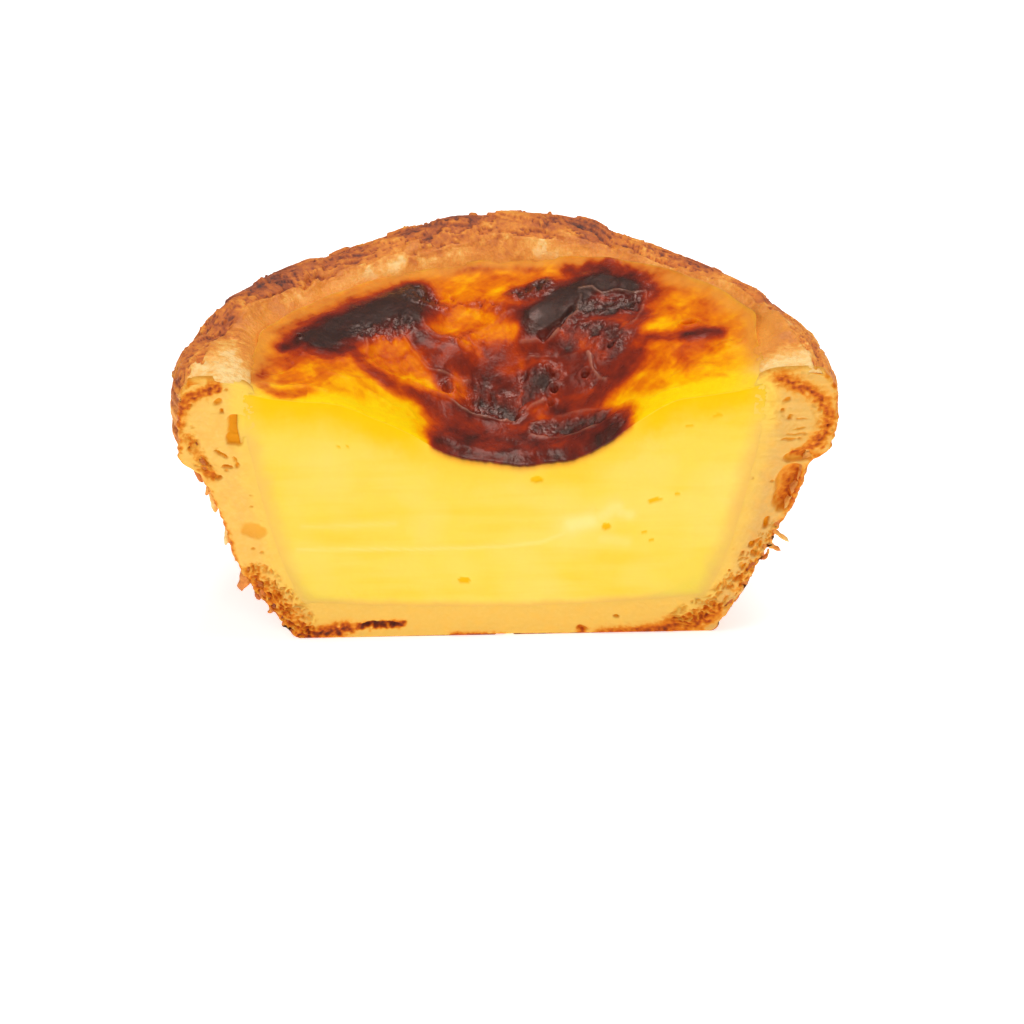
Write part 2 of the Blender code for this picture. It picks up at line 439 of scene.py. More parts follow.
@dataclass(frozen=True)
class TartForm:
    """The turned form of the tart and its unevenness."""

    cut_y: float
    rim_radius: float
    base_radius: float = 22.5
    base_edge: float = 1.0
    crest_height: float = 33.2
    crest_radius: float = 33.0
    floor_thickness: float = 4.1
    lip_half_width: float = 4.1
    lip_half_height: float = 4.8
    lip_squareness: float = 2.6
    slope_foot_radius: float = 26.6
    slope_foot_height: float = 28.0
    slope_squareness: float = 1.8
    slope_squareness_at_cut: float = 4.2
    wall_power: float = 0.68
    wall_top_radius: float = 33.2
    wall_top_height: float = 24.6
    floor_radius: float = 20.5
    floor_start: float = 0.6
    edge_start: float = 0.62
    base_start: float = 0.68
    floor_dish: float = 0.9
    crest_wave: float = 0.7
    swell: float = 0.5
    contact: float = 31.1
    contact_tilt: float = 1.2
    contact_angle: float = math.radians(45.0)
    cup_top_radius: float = 27.8
    dome: float = 0.3
    sink_depth: float = 8.3
    sink_across: float = 2.7
    sink_left: float = 14.9
    sink_right: float = 11.8
    sink_behind: float = 14.0
    bulges: tuple[Bulge, ...] = (
        Bulge(180.0, 10.0, 26.0, 4.5, 0.9),
        Bulge(180.0, 23.0, 22.0, 2.6, 0.5),
        Bulge(0.0, 19.0, 24.0, 5.0, 0.75),
    )

    @property
    def lip_radius(self) -> float:
        """Radius of the lip's middle."""
        return self.rim_radius - self.lip_half_width

    @property
    def lip_height(self) -> float:
        """Height of the lip's middle."""
        return self.crest_height - self.lip_half_height

    def slope_power(self, angle: Array) -> Array:
        """Squareness of the slope inside the crest: rounder at the back, boxy at the cut."""
        near_cut = climb(np.abs(np.cos(angle)), 0.9, 1.0)
        return mix(self.slope_squareness, self.slope_squareness_at_cut, near_cut)

    def lip_line(self, turn: Array, angle: Array) -> tuple[Array, Array]:
        """Radius and height on the lip: quarters of superellipses that meet at the crest.

        Args:
            turn: Way round the section: 0 faces outward, a quarter turn is the crest, and
                half a turn the foot of the slope.
            angle: Angle round the axis.

        Returns:
            Radius and height.
        """
        inside, above = turn > math.pi / 2.0, turn >= 0.0
        power = np.where(inside, self.slope_power(angle), self.lip_squareness)
        middle = np.where(above, self.crest_radius, self.lip_radius)
        outward = np.where(above, self.rim_radius - self.crest_radius, self.lip_half_width)
        half_width = np.where(inside, self.crest_radius - self.slope_foot_radius, outward)
        low = np.where(inside, self.slope_foot_height, self.lip_height)
        half_height = np.where(inside, self.crest_height - self.slope_foot_height, self.lip_half_height)
        c, s = np.cos(turn), np.sin(turn)
        reach = (np.abs(c) ** power + np.abs(s) ** power) ** (-1.0 / power)
        return middle + half_width * reach * c, low + half_height * reach * s

    def wall_radius(self, height: Array) -> Array:
        """Outer radius of the wall: a power curve up to the lip."""
        share = np.clip(height / self.wall_top_height, 0.0, 1.2)
        return self.base_radius + (self.wall_top_radius - self.base_radius) * share**self.wall_power

    def cup_radius(self, height: Array) -> Array:
        """Radius of the cup: a paraboloid that ends upright."""
        share = np.clip((height - self.floor_thickness) / (self.lip_height - self.floor_thickness), 0, 1)
        return self.floor_radius + (self.cup_top_radius - self.floor_radius) * np.sqrt(share)

    def floor_height(self, radius: Array) -> Array:
        """Height of the cup's dished floor."""
        return self.floor_thickness + self.floor_dish * (radius / self.floor_radius) ** 2

    def contact_height(self, angle: Array) -> Array:
        """Height at which the custard meets the pastry."""
        return self.contact + self.contact_tilt * np.cos(2.0 * angle - self.contact_angle)

    def contact_radius(self, angle: Array) -> Array:
        """Radius of the slope at the height of the contact."""
        power = self.slope_power(angle)
        rise = self.crest_height - self.slope_foot_height
        share = (self.contact_height(angle) - self.slope_foot_height) / rise
        in_from_crest = (1.0 - limit(share) ** power) ** (1.0 / power)
        return self.crest_radius - (self.crest_radius - self.slope_foot_radius) * in_from_crest

    def custard_height(self, across: Array, behind: Array) -> Array:
        """Height of the custard's top: the contact line, a low dome and a sunken middle."""
        share = limit(np.hypot(across, behind) / self.cup_top_radius)
        edge = self.contact_height(np.arctan2(behind, across)) - self.contact
        reach = np.where(across < self.sink_across, self.sink_left, self.sink_right)
        away = np.hypot((across - self.sink_across) / reach, behind / self.sink_behind)
        sunk = self.sink_depth * np.exp(-(away**3))
        return self.contact + edge * share**2 + self.dome * (1.0 - share**2) - sunk

    def inner_line(self, share: Array) -> tuple[Array, Array]:
        """Radius and height down the cup, from the lip's middle height at 0 to the axis at 1."""
        low = self.floor_height(self.floor_radius)
        height = mix(self.lip_height, low, limit(share / self.floor_start))
        inward = limit((share - self.floor_start) / (1.0 - self.floor_start))
        radius = np.where(inward > 0, self.floor_radius * (1.0 - inward), self.cup_radius(height))
        return radius, np.where(inward > 0, self.floor_height(radius), height)

    def outer_line(self, share: Array) -> tuple[Array, Array]:
        """Radius and height down the wall, from under the lip at 0 to the axis at 1.

        The wall meets the base in a small quarter round.
        """
        edge_start, base_start = self.edge_start, self.base_start
        height = mix(self.wall_top_height + 1.4, self.base_edge, limit(share / edge_start))
        turn = limit((share - edge_start) / (base_start - edge_start)) * math.pi / 2.0
        inward = limit((share - base_start) / (1.0 - base_start))
        edge_radius = self.wall_radius(self.base_edge) - self.base_edge * (1.0 - np.cos(turn))
        edge_height = self.base_edge * (1.0 - np.sin(turn))
        flat = (self.wall_radius(self.base_edge) - self.base_edge) * (1.0 - inward)
        radius = np.where(share > base_start, flat, np.where(turn > 0, edge_radius, self.wall_radius(height)))
        return radius, np.where(share > base_start, 0.0, np.where(turn > 0, edge_height, height))

    def swollen(self, radius: Array, height: Array, angle: Array) -> Array:
        """Radius of the outside with its swellings, which fade out at the base."""
        swell = self.swell * np.sin(2.0 * angle) * np.cos(3.0 * angle + 0.6)
        for bulge in self.bulges:
            swell = swell + bulge.rise(angle, height)
        return radius + swell * climb(height, 0.0, 3.2)

    def waved(self, height: Array, angle: Array) -> Array:
        """Height with the wave of the crest."""
        upper = climb(height, self.lip_height, self.crest_height)
        return height + upper * self.crest_wave * np.cos(4.0 * angle)


# Materials


def srgb(red: float, green: float, blue: float) -> Colour:
    """A colour from display values of 0 to 255."""
    parts = np.array([red, green, blue]) / 255.0
    linear = np.where(parts <= 0.04045, parts / 12.92, ((parts + 0.055) / 1.055) ** 2.4)
    return (float(linear[0]), float(linear[1]), float(linear[2]), 1.0)


GOLDEN = srgb(236, 150, 52)
CREAM = srgb(250, 196, 92)
TAN = srgb(224, 172, 92)


class Sum(Enum):
    """Sums that a material can do."""

    ADD = "ADD"
    SUBTRACT = "SUBTRACT"
    MULTIPLY = "MULTIPLY"


class NodeSheet:
    """A material's nodes, with short calls to add and join them."""

    def __init__(self, name: str) -> None:
        """Make a material with only a Principled shader and an output."""
        self.material = bpy.data.materials.new(name)
        self.material.use_nodes = True
        self.tree = self.material.node_tree
        self.shader = self.tree.nodes["Principled BSDF"]

    def add(self, kind: str, settings: dict | None = None, **inputs: object) -> bpy.types.Node:
        """Add a node.

        Args:
            kind: Its type without "ShaderNode".
            settings: Its own properties.
            inputs: Values or sockets; an underscore stands for a space.

        Returns:
            The node.
        """
        node = self.tree.nodes.new("ShaderNode" + kind)
        for key, value in (settings or {}).items():
            setattr(node, key, value)
        for key, value in inputs.items():
            self.feed(node.inputs[key.replace("_", " ")], value)
        return node

    def feed(self, socket: Socket, value: object) -> None:
        """Set an input to a value, or link a socket to it."""
        if isinstance(value, Socket):
            self.tree.links.new(value, socket)
        else:
            socket.default_value = value

    def place(self) -> Socket:
        """Object coordinates."""
        return self.add("TexCoord").outputs["Object"]

    def field(self, name: str) -> Socket:
        """A number that the mesh holds at each point."""
        return self.add("Attribute", {"attribute_name": name}).outputs["Fac"]

    def math(self, kind: Sum, first: object, second: object) -> Socket:
        """One sum on two numbers."""
        node = self.add("Math", {"operation": kind.value})
        self.feed(node.inputs[0], first)
        self.feed(node.inputs[1], second)
        return node.outputs[0]

    def spread(self, value: object, low: float, high: float, start: float, end: float) -> Socket:
        """Map the range low to high onto start to end, clamped."""
        node = self.add("MapRange")
        for socket, number in zip(node.inputs, (value, low, high, start, end)):
            self.feed(socket, number)
        return node.outputs[0]

    def vary(self, value: Socket, grain: Socket, most: float) -> Socket:
        """Move a number up and down by a grain."""
        return self.math(Sum.ADD, value, self.spread(grain, 0.3, 0.7, -most, most))

    def grain(self, size: float, detail: float = 3.0, stretch: tuple | None = None) -> Socket:
        """Noise with features of a size in millimetres, stretched along the axes if asked."""
        place = self.place()
        if stretch:
            place = self.add("Mapping", Vector=place, Scale=stretch).outputs[0]
        node = self.add("TexNoise", Vector=place, Scale=1.0 / (size * MM), Detail=detail)
        return node.outputs["Fac"]

    def ramp(self, value: object, stops: tuple[tuple[float, Colour], ...]) -> Socket:
        """A colour ramp through the stops given."""
        node = self.add("ValToRGB", Fac=value)
        elements = node.color_ramp.elements
        while len(elements) < len(stops):
            elements.new(0.5)
        for element, (position, colour) in zip(elements, stops):
            element.position = position
            element.color = colour
        return node.outputs["Color"]

    def lay(self, share: object, under: object, over: object) -> Socket:
        """Lay one colour over another by a share."""
        node = self.add("Mix", {"data_type": "RGBA"})
        self.feed(node.inputs["Factor"], share)
        self.feed(node.inputs[6], under)
        self.feed(node.inputs[7], over)
        return node.outputs[2]

    def bump(self, height: object, depth: float) -> None:
        """Give the shader a fine relief, its depth in millimetres."""
        node = self.add("Bump", Height=height, Distance=depth * MM)
        self.feed(self.shader.inputs["Normal"], node.outputs["Normal"])

    def set(self, **values: object) -> None:
        """Set the shader's inputs; an underscore stands for a space."""
        for key, value in values.items():
            self.feed(self.shader.inputs[key.replace("_", " ")], value)


@dataclass(frozen=True)
class CustardFinish:
    """Egg custard, pale inside, with a skin that goes from yellow to burnt caramel, and a painted glint on
    its ridges.
    """

    pale: Colour = srgb(255, 214, 82)
    # deep yellow: the painted glow of light shining through the custard near the top of the cut, and also its
    # drag streaks
    deep: Colour = srgb(255, 198, 0)
    cream: Colour = CREAM
    tan: Colour = TAN
    smear: Colour = srgb(255, 232, 150)
    pore: Colour = srgb(250, 190, 8)
    # painted highlight: a pale pink laid along the thin ridges as their glint
    painted_ridge_glint: Colour = srgb(214, 158, 132)
    golden: Colour = GOLDEN
    crust: Colour = srgb(212, 124, 46)
    gloss: Colour = srgb(255, 222, 208)
    burnt: tuple[tuple[float, Colour], ...] = (
        (0.00, srgb(255, 208, 8)),
        (0.12, srgb(252, 178, 0)),
        (0.26, srgb(232, 124, 4)),
        (0.40, srgb(206, 84, 14)),
        (0.54, srgb(168, 54, 20)),
        (0.68, srgb(130, 42, 26)),
        (0.82, srgb(94, 34, 26)),
        (0.93, srgb(66, 32, 25)),
        (1.00, srgb(50, 29, 24)),
    )

    def make(self) -> bpy.types.Material:
        """Build the material from the fields of the custard's mesh."""
        sheet = NodeSheet("egg_custard_and_burnt_skin")
        speck = sheet.grain(0.8, 4.0)
        cloud = sheet.grain(7.0, 1.0)
        # painted light: deeper yellow where light shining through the custard makes the top of the cut glow
        inside = sheet.lay(sheet.field("painted_backlight_glow"), self.pale, self.deep)
        drag = sheet.grain(1.6, 3.0, (0.12, 1.0, 1.0))
        inside = sheet.lay(sheet.spread(drag, 0.45, 0.75, 0.0, 0.35), inside, self.deep)
        plain = sheet.math(Sum.SUBTRACT, 1.0, sheet.field("painted_backlight_glow"))
        clouded = sheet.math(Sum.MULTIPLY, sheet.spread(cloud, 0.4, 0.75, 0.0, 0.24), plain)
        inside = sheet.lay(clouded, inside, self.smear)
        inside = sheet.lay(sheet.field("smear"), inside, self.smear)
        inside = sheet.lay(sheet.field("pore"), inside, self.pore)
        crumb = sheet.lay(sheet.field("crumb"), self.cream, self.tan)
        inside = sheet.lay(sheet.field("soak"), inside, crumb)
        heat = sheet.vary(sheet.field("scorch"), speck, 0.035)
        # painted highlight: the glint field lays a pale pink along the ridges
        skin = sheet.lay(sheet.field("glint"), sheet.ramp(heat, self.burnt), self.painted_ridge_glint)
        margin = sheet.lay(sheet.field("crumb"), self.cream, self.golden)
        margin = sheet.lay(sheet.spread(sheet.field("scorch"), 0.16, 0.4, 0.0, 0.9), margin, self.crust)
        skin = sheet.lay(sheet.field("border"), skin, margin)
        sheet.set(Base_Color=sheet.lay(sheet.field("skin"), inside, skin))
        sheet.set(Roughness=sheet.field("roughness"), Specular_IOR_Level=sheet.field("shine"), IOR=1.45)
        sheet.set(Specular_Tint=self.gloss)
        sheet.set(Subsurface_Weight=0.3, Subsurface_Scale=0.0014, Subsurface_Radius=(1.0, 0.6, 0.2))
        grit = sheet.math(Sum.MULTIPLY, sheet.grain(0.45, 4.0), sheet.field("blister"))
        height = sheet.math(Sum.ADD, sheet.math(Sum.MULTIPLY, grit, 4.0), sheet.grain(0.4, 3.0))
        sheet.bump(height, 0.05)
        return sheet.material


@dataclass(frozen=True)
class PastryFinish:
    """Laminated pastry, from raw cream through gold to purple brown."""

    glazed: Colour = GOLDEN
    baked: tuple[tuple[float, Colour], ...] = (
        (0.00, srgb(252, 210, 138)),
        (0.16, srgb(246, 178, 84)),
        (0.32, srgb(232, 144, 54)),
        (0.46, srgb(212, 120, 46)),
        (0.60, srgb(188, 98, 46)),
        (0.74, srgb(154, 78, 46)),
        (0.88, srgb(116, 62, 46)),
        (1.00, srgb(84, 54, 48)),
    )

    def make(self) -> bpy.types.Material:
        """Build the material from the fields bake and glaze."""
        sheet = NodeSheet("browned_pastry")
        speck = sheet.grain(0.6, 5.0)
        cloud = sheet.grain(3.5, 3.0)
        bake = sheet.vary(sheet.vary(sheet.field("bake"), speck, 0.1), cloud, 0.08)
        sheet.set(Base_Color=sheet.lay(sheet.field("glaze"), sheet.ramp(bake, self.baked), self.glazed))
        sheet.set(Roughness=sheet.field("roughness"))
        sheet.set(Specular_IOR_Level=0.35)
        sheet.set(Subsurface_Weight=0.15, Subsurface_Scale=0.0008, Subsurface_Radius=(1.0, 0.5, 0.25))
        sheet.bump(sheet.math(Sum.ADD, sheet.grain(0.3, 5.0), sheet.grain(1.1, 3.0)), 0.12)
        return sheet.material


@dataclass(frozen=True)
class CrumbFinish:
    """The cut inside of the pastry: cream crumb, amber hollows and a toasted edge."""

    cream: Colour = CREAM
    tan: Colour = TAN
    pale: Colour = srgb(255, 224, 156)
    warm: Colour = srgb(242, 170, 66)
    soaked: Colour = srgb(253, 206, 84)
    hollow: Colour = srgb(236, 150, 0)
    toasted: tuple[tuple[float, Colour], ...] = (
        (0.00, srgb(248, 190, 90)),
        (0.25, srgb(240, 168, 60)),
        (0.45, srgb(224, 126, 16)),
        (0.62, srgb(196, 86, 8)),
        (0.80, srgb(142, 56, 14)),
        (1.00, srgb(92, 42, 30)),
    )

    def make(self) -> bpy.types.Material:
        """Build the material from the fields toast, crumb, hollow and near_custard."""
        sheet = NodeSheet("cut_pastry_crumb")
        speck = sheet.grain(0.5, 5.0)
        inside = sheet.lay(sheet.field("crumb"), self.cream, self.tan)
        inside = sheet.lay(sheet.spread(speck, 0.45, 0.75, 0.0, 0.14), inside, self.pale)
        inside = sheet.lay(sheet.spread(sheet.grain(1.4, 4.0), 0.45, 0.7, 0.0, 0.4), inside, self.warm)
        inside = sheet.lay(sheet.field("near_custard"), inside, self.soaked)
        inside = sheet.lay(sheet.field("hollow"), inside, self.hollow)
        toast = sheet.vary(sheet.field("toast"), speck, 0.07)
        shown = sheet.spread(toast, 0.1, 0.34, 0.0, 1.0)
        sheet.set(Base_Color=sheet.lay(shown, inside, sheet.ramp(toast, self.toasted)))
        sheet.set(Roughness=0.6, Specular_IOR_Level=0.15)
        sheet.set(Subsurface_Weight=0.15, Subsurface_Scale=0.001, Subsurface_Radius=(1.0, 0.6, 0.3))
        sheet.bump(sheet.grain(0.5, 3.0), 0.03)
        return sheet.material


@dataclass(frozen=True)
class FloorFinish:
    """Plain white ground."""

    colour: Colour = srgb(250, 250, 250)

    def make(self) -> bpy.types.Material:
        """Build the material."""
        sheet = NodeSheet("plain_ground")
        sheet.set(Base_Color=self.colour, Roughness=0.8, Specular_IOR_Level=0.1)
        sheet.set(Emission_Color=(1.0, 1.0, 1.0, 1.0), Emission_Strength=0.55)
        return sheet.material


# The custard


@dataclass(frozen=True)
class BurntSkin:
    """Where the custard's skin burnt, rose, sank, blistered, wrinkled and cracked."""

    burns: tuple[Stroke, ...] = each(Stroke,
        # the left black arch, its tip and its top
        (((-19.6, 12.2), (-17.2, 15), (-14.6, 17.2), (-12, 18.6), (-10, 19.8)), 3.7, 1.1, 2),
        (((-23.2, 10.4), (-20.5, 13.2)), 1.7, 0.86, 2.6), (((-11, 20.8), (-9.4, 22.6)), 2.2, 1.02, 2.6),
        (((-15, 14.2), (-12.4, 14.9), (-10.4, 16.6)), 1.7, 0.82, 2.6),
        (((-10.2, 20), (-9.7, 17.4)), 1.6, 0.92, 2.6), (((-8.6, 22), (-7, 18.8)), 2.1, 0.9, 2.4),
        (((-9.6, 16.6), (-8.4, 12.8), (-6, 9.6)), 1.6, 0.7, 2.6),
        # the smooth brown band that runs down from it, and the fringes round it
        (((-9.4, 17), (-8.6, 15), (-7.2, 13.3), (-5, 12.2), (-3, 11.8), (-1.2, 11.4)), 2.1, 0.72),
        (((-17.6, 12.6), (-15.3, 9.2), (-13.7, 7.4), (-11, 6.4), (-8, 6.8)), 1.35, 0.64, 2.8),
        (((-26.2, 3.2), (-25.6, 6), (-24, 7.8), (-22.5, 9)), 1.5, 0.5, 2.4),
        (((-27, 2.8), (-25, 1.5), (-23, 1.1), (-20.6, 2.2)), 1, 0.42),
        (((-26, 4.4), (-22.6, 4.4), (-19.4, 4.8)), 2.2, 0.38, 2.6),
        (((-24, 7), (-20, 10.5), (-16.5, 11)), 3.6, 0.38, 2.4),
        (((-19.5, 12), (-15.5, 15.6), (-11.4, 17.2), (-8.2, 19.2)), 3.4, 0.62, 2.2),
        (((4.6, 15.6), (8, 17.6), (13.4, 16.6), (15.4, 19.6)), 3.6, 0.62, 2.2),
        (((-18.6, 3.4), (-15.6, 3.4)), 1.4, 0.27, 2.4),
        (((-19.5, 7.4), (-16.5, 7.9), (-15, 5.4), (-13.4, 4.4)), 1.1, 0.3, 2.4),
        # the right black arch, its pocket and its bumps
        (((3.6, 17.4), (6, 19.4), (8.5, 21.4), (11.3, 22.4), (14, 21.4)), 3.1, 1.08, 2),
        (((3.6, 16.6), (6, 17.8), (8.6, 19.6)), 2.3, 0.98, 2.8), (((2.2, 21.6), (5, 22.6)), 1.9, 0.88),
        (((9.6, 19), (12.4, 18), (14.6, 18.6)), 1.9, 0.9, 2.8),
        (((8.3, 15.8), (11, 14.6), (12.2, 12.6)), 2.2, 0.82, 2.8),
        (((15.2, 17), (14.4, 13.8), (13, 11)), 2, 0.64, 2.8),
        (((14, 12.4), (15.9, 11.4), (18.3, 11), (20.6, 10.8)), 1.5, 0.62, 2.4),
        (((20.2, 10.7), (23, 10.9)), 1.5, 0.86, 2.2),
        (((8, 25.4), (12.4, 25), (16, 22.8), (17.4, 19.6)), 1.6, 0.66, 2.6),
        # the middle, down to the cut
        (((14.3, 9.6), (12, 7.6), (9.2, 6.9), (6.3, 7.2)), 2, 0.72, 2.8),
        (((-1, 9.4), (4, 10.4), (8.2, 10.4), (10.4, 9.8)), 3.2, 0.72, 3.4),
        (((-2.4, 7), (3.4, 8.4), (9.4, 12.4)), 4.4, 0.6),
        (((-7, 5.8), (-3, 6.6), (1.6, 7.2)), 2.2, 0.76, 3.2),
        (((-0.2, 13.6), (4, 14), (7, 13.4)), 2.2, 0.7, 3.2),
        (((-5.6, 4.2), (0, 4.6), (9.4, 4.4)), 1.7, 0.7, 3.2),
        (((-7.2, 2.4), (-4, 2.2), (0, 2.4), (5, 2.4), (9.5, 2.2), (12, 1.4)), 2.3, 0.78, 5),
        (((-6.4, 0.4), (-2, 0), (3, 0), (8, 0), (12.2, 0.2)), 1.7, 0.82, 5),
        (((3.5, 5.4), (7, 5), (10.4, 4)), 1.3, 0.84), (((-2.4, 8.6), (1, 8.1)), 1.3, 0.93, 2.8),
        (((3, 10.6), (5.4, 10.6)), 1.5, 0.78, 2.8),
        # the golden right side and the back
        (((19.6, 6.3), (20.3, 5.7)), 1.3, 0.46, 2.4), (((15, 9), (18, 7.8), (22, 8.4)), 2.9, 0.41, 2.4),
        (((13.4, 5.6), (16.6, 4)), 1.9, 0.3, 2.4), (((19.2, 3), (21.4, 3.4), (23.4, 2.7)), 0.8, 0.24, 2.4),
        (((17, 21), (20, 16.5), (23.5, 12.5)), 3.4, 0.38, 2.6),
        (((11, 26.4), (18.4, 21.4), (23.6, 15.2), (26, 9.4)), 2.2, 0.34, 2.6),
        (((-7.5, 25), (-2, 25.4), (3, 25), (6, 24)), 2.7, 0.36, 2.6),
        (((-5, 26.6), (0, 27.2), (5, 26.4)), 0.8, 0.46, 2.4), (((-5.5, 15.4), (-3, 16.6)), 1.3, 0.6, 2.4),
        (((-2.6, 20.4), (-0.6, 19.4)), 1.5, 0.6, 2.4), (((-5, 18.6), (0, 18.4)), 4.2, 0.45, 2.8),
        (((-9.4, 14.6), (-4, 15.6)), 2.2, 0.56, 2.8), (((15.6, 7), (20, 5), (24, 5.4)), 2.6, 0.26, 2.4),
        (((-7.5, 11.2), (-4, 13.9), (1, 16)), 2.2, 0.46, 2.6),
    )
    windows: tuple[Stroke, ...] = each(Stroke,
        (((-13.2, 10.4), (-10, 10.9)), 1.9, 0.38, 4), (((-5.4, 17.7), (-3.2, 18.6)), 1.8, 0.26, 3.4),
        (((-5.4, 23.2), (-1, 23.4)), 1.3, 0.27, 3.4), (((-0.8, 16.4), (1.4, 15.8)), 1.1, 0.24, 3.4),
        (((-12.4, 3), (-9.4, 2.8)), 1.4, 0.06),
    )
    swellings: tuple[Stroke, ...] = each(Stroke,
        (((-22.5, 11.5), (-18.5, 16), (-15, 18.6), (-11.5, 20.4), (-9, 22.6)), 3, 0.8, 2.2),
        (((-10.2, 19.5), (-9.3, 16.4), (-7.6, 13.9), (-4.4, 12.2)), 1.7, 0.5, 2.4),
        (((4, 18), (7, 20.8), (9.6, 22.8), (13.2, 22.6)), 3, 0.7, 2.2),
        (((20, 11.2), (23, 10.8)), 2, 0.3, 2.4), (((3.9, 11.2),), 1.3, 0.7, 4),
        (((24.2, 8.3),), 0.9, 0.5, 4), (((8.6, 15.6), (11.2, 14.4)), 1.8, 0.35, 2.4),
        (((-17.4, 12.2), (-15, 9), (-11, 6.4)), 1.3, 0.3, 2.4), (((14, 12.4), (17, 11)), 1.3, 0.25, 2.4),
        (((-7.2, 22),), 1.6, -0.8, 2.6), (((10.2, 18.8), (14.4, 18.4)), 1.9, -0.7, 2.4),
        (((-13, 10.4), (-9.6, 10.8)), 2, -0.6, 4), (((-5.2, 17.6), (-3.2, 18.4)), 1.7, -0.8),
        (((-2.2, 8.4), (0.9, 8)), 1.5, -0.9), (((3.8, 4.9), (10, 3.6)), 0.9, -0.4),
    )
    ridges: tuple[Stroke, ...] = each(Stroke,
        (((-9.2, 8.2), (-7, 7.9), (-5, 7.4), (-3.1, 6.5), (-0.3, 6.1), (1.9, 7), (3.1, 8.3),
          (4.6, 8.9)), 0.3, 0.42),
        (((9.4, 11.9), (9.6, 10.3), (10.2, 9), (11, 8.2)), 0.3, 0.45),
        (((1.6, 12.6), (3.2, 13.2), (5.9, 12.9), (8.3, 12.4)), 0.26, 0.28),
        (((8.6, 21.2), (10.2, 21.4), (11.6, 20.4), (12.6, 20.7), (14.4, 20), (16.4, 20.3)), 0.32, 0.36),
        (((8.9, 20.2), (8.6, 18.2), (7.2, 16.2), (5, 14.8), (2.6, 14.6)), 0.34, 0.4),
        (((16.4, 20.2), (15.8, 17.4), (14.8, 15), (12.6, 13)), 0.26, 0.36),
        (((10.4, 4.7), (12.8, 3.9), (14.6, 3.1), (16, 2), (18.6, 1.7)), 0.3, 0.34),
        (((2.6, 4.3), (6.1, 3.6), (9.3, 3.2), (11.8, 2.9)), 0.3, 0.36),
        (((2.4, 4.6), (3.2, 5.9), (6, 6.4), (9.5, 5.7), (11.8, 5)), 0.3, 0.3),
        (((-14.9, 13), (-14.6, 11), (-13.5, 9), (-11.4, 7.9), (-8.9, 8.4)), 0.28, 0.36),
        (((-11, 15), (-9.9, 12.9), (-8.3, 11), (-6.7, 10.2), (-4.5, 9.8), (-3.4, 10.6)), 0.28, 0.4),
        (((-1.4, 14.8), (-2.8, 15.7), (-1.6, 17.4), (1.4, 18.6)), 0.26, 0.3),
        (((-8.6, 17.4), (-7.4, 15.4), (-5.6, 14.4), (-3.6, 13.8)), 0.26, 0.32),
        (((-2.8, 11), (-2.2, 10), (-2.6, 9.2)), 0.24, 0.3),
        (((-5.4, 9.4), (-4.6, 8.8), (-5, 8)), 0.24, 0.3),
        (((-14, 4.2), (-12, 3.4), (-10.2, 3.9), (-9.2, 2.7), (-11.6, 2)), 0.26, 0.24),
        (((-25.6, 2.4), (-23, 2.3), (-21, 3.4), (-19, 2.9)), 0.3, 0.26),
        (((-22, 9.4), (-19.4, 8.2), (-16.8, 8.8)), 0.34, 0.22),
        (((-19, 6), (-16.6, 5), (-14.6, 5.8)), 0.3, 0.2),
        (((22.2, 8.6), (23.4, 7.6), (25.2, 7.6), (26.2, 8.8)), 0.28, 0.28),
        (((18.2, 4.4), (20.6, 4.9), (23, 4)), 0.34, 0.2), (((3, 22.8), (4.6, 23.6), (6, 23.2)), 0.26, 0.3),
        (((5.2, 24.2), (5.8, 22.8)), 0.22, 0.26),
    )
    cracks: tuple[Stroke, ...] = each(Stroke,
        (((8.3, 18.6), (7, 16.7), (4.6, 15.1)), 0.3, 0.6), (((11, 13.4), (12, 12.6)), 0.3, 0.4),
        (((-26, 4.6), (-24, 5.6), (-22.6, 7.2)), 0.34, 0.22),
    )
    pits: tuple[Stroke, ...] = each(Stroke,
        (((5.7, 9.6),), 0.5, 0.8), (((5.1, 11.6), (5.6, 11.2)), 0.34, 0.5), (((9.1, 10),), 0.55, 0.8),
        (((5.3, 8.2),), 0.4, 0.5), (((-6, 8.6), (-5.6, 9.1)), 0.5, 0.5),
        (((20, 12.9), (20.9, 13.1)), 0.5, 0.7), (((12, 12),), 0.45, 0.6), (((-21.9, 12.2),), 0.4, 0.45),
    )
    blistered: tuple[Stroke, ...] = each(Stroke,
        (((-15, 14.4), (-12, 14.4), (-10.8, 15.8)), 1.9, 0.7, 4),
        (((-13.4, 10.2), (-9.6, 10.8)), 1.9, 0.45, 4), (((-8.8, 21.8), (-6.2, 21.2)), 2, 1, 4),
        (((8.3, 15.2), (10.4, 14.2), (12, 12.4)), 2, 1, 4), (((10, 18.6), (14.6, 18.4)), 1.6, 0.8, 4),
        (((2.2, 21.6), (5, 22.2)), 1.7, 0.7, 4), (((-3, 8.7), (0.8, 8.1)), 1.8, 1, 4),
        (((2.8, 10.4), (5.5, 10.8)), 1.8, 0.75, 4), (((8.6, 10.4), (9.4, 8.8)), 1.2, 0.6, 4),
        (((3.5, 5.3), (7.5, 4.8), (10.4, 4)), 1, 0.9, 4), (((-6, 8.8), (-4.6, 8.4)), 1, 0.7, 4),
        (((-3, 20.4), (-1, 19.6)), 1.3, 0.8, 4), (((-5, 14.4), (-2, 15.4)), 1.3, 0.6, 4),
        (((12, 2.2), (13.6, 1.2)), 1, 0.7, 4),
    )
    warp: float = 0.55
    fray: float = 0.1
    fade: float = 0.1
    dip_curl: float = 0.7
    border_heat: float = 0.2
    border_width: float = 1.4

    def drift(self, across: Array, behind: Array) -> tuple[Array, Array]:
        """Push places about, so that nothing drawn keeps a clean outline."""
        broad = spots(across / 3.6, behind / 3.6, 2.0)
        fine = spots(across / 1.2, behind / 1.2, 7.0)
        shift_x = self.warp * noise(broad, 11) + self.fray * noise(fine, 13)
        shift_y = self.warp * noise(broad, 12) + self.fray * noise(fine, 14)
        return across + shift_x, behind + shift_y

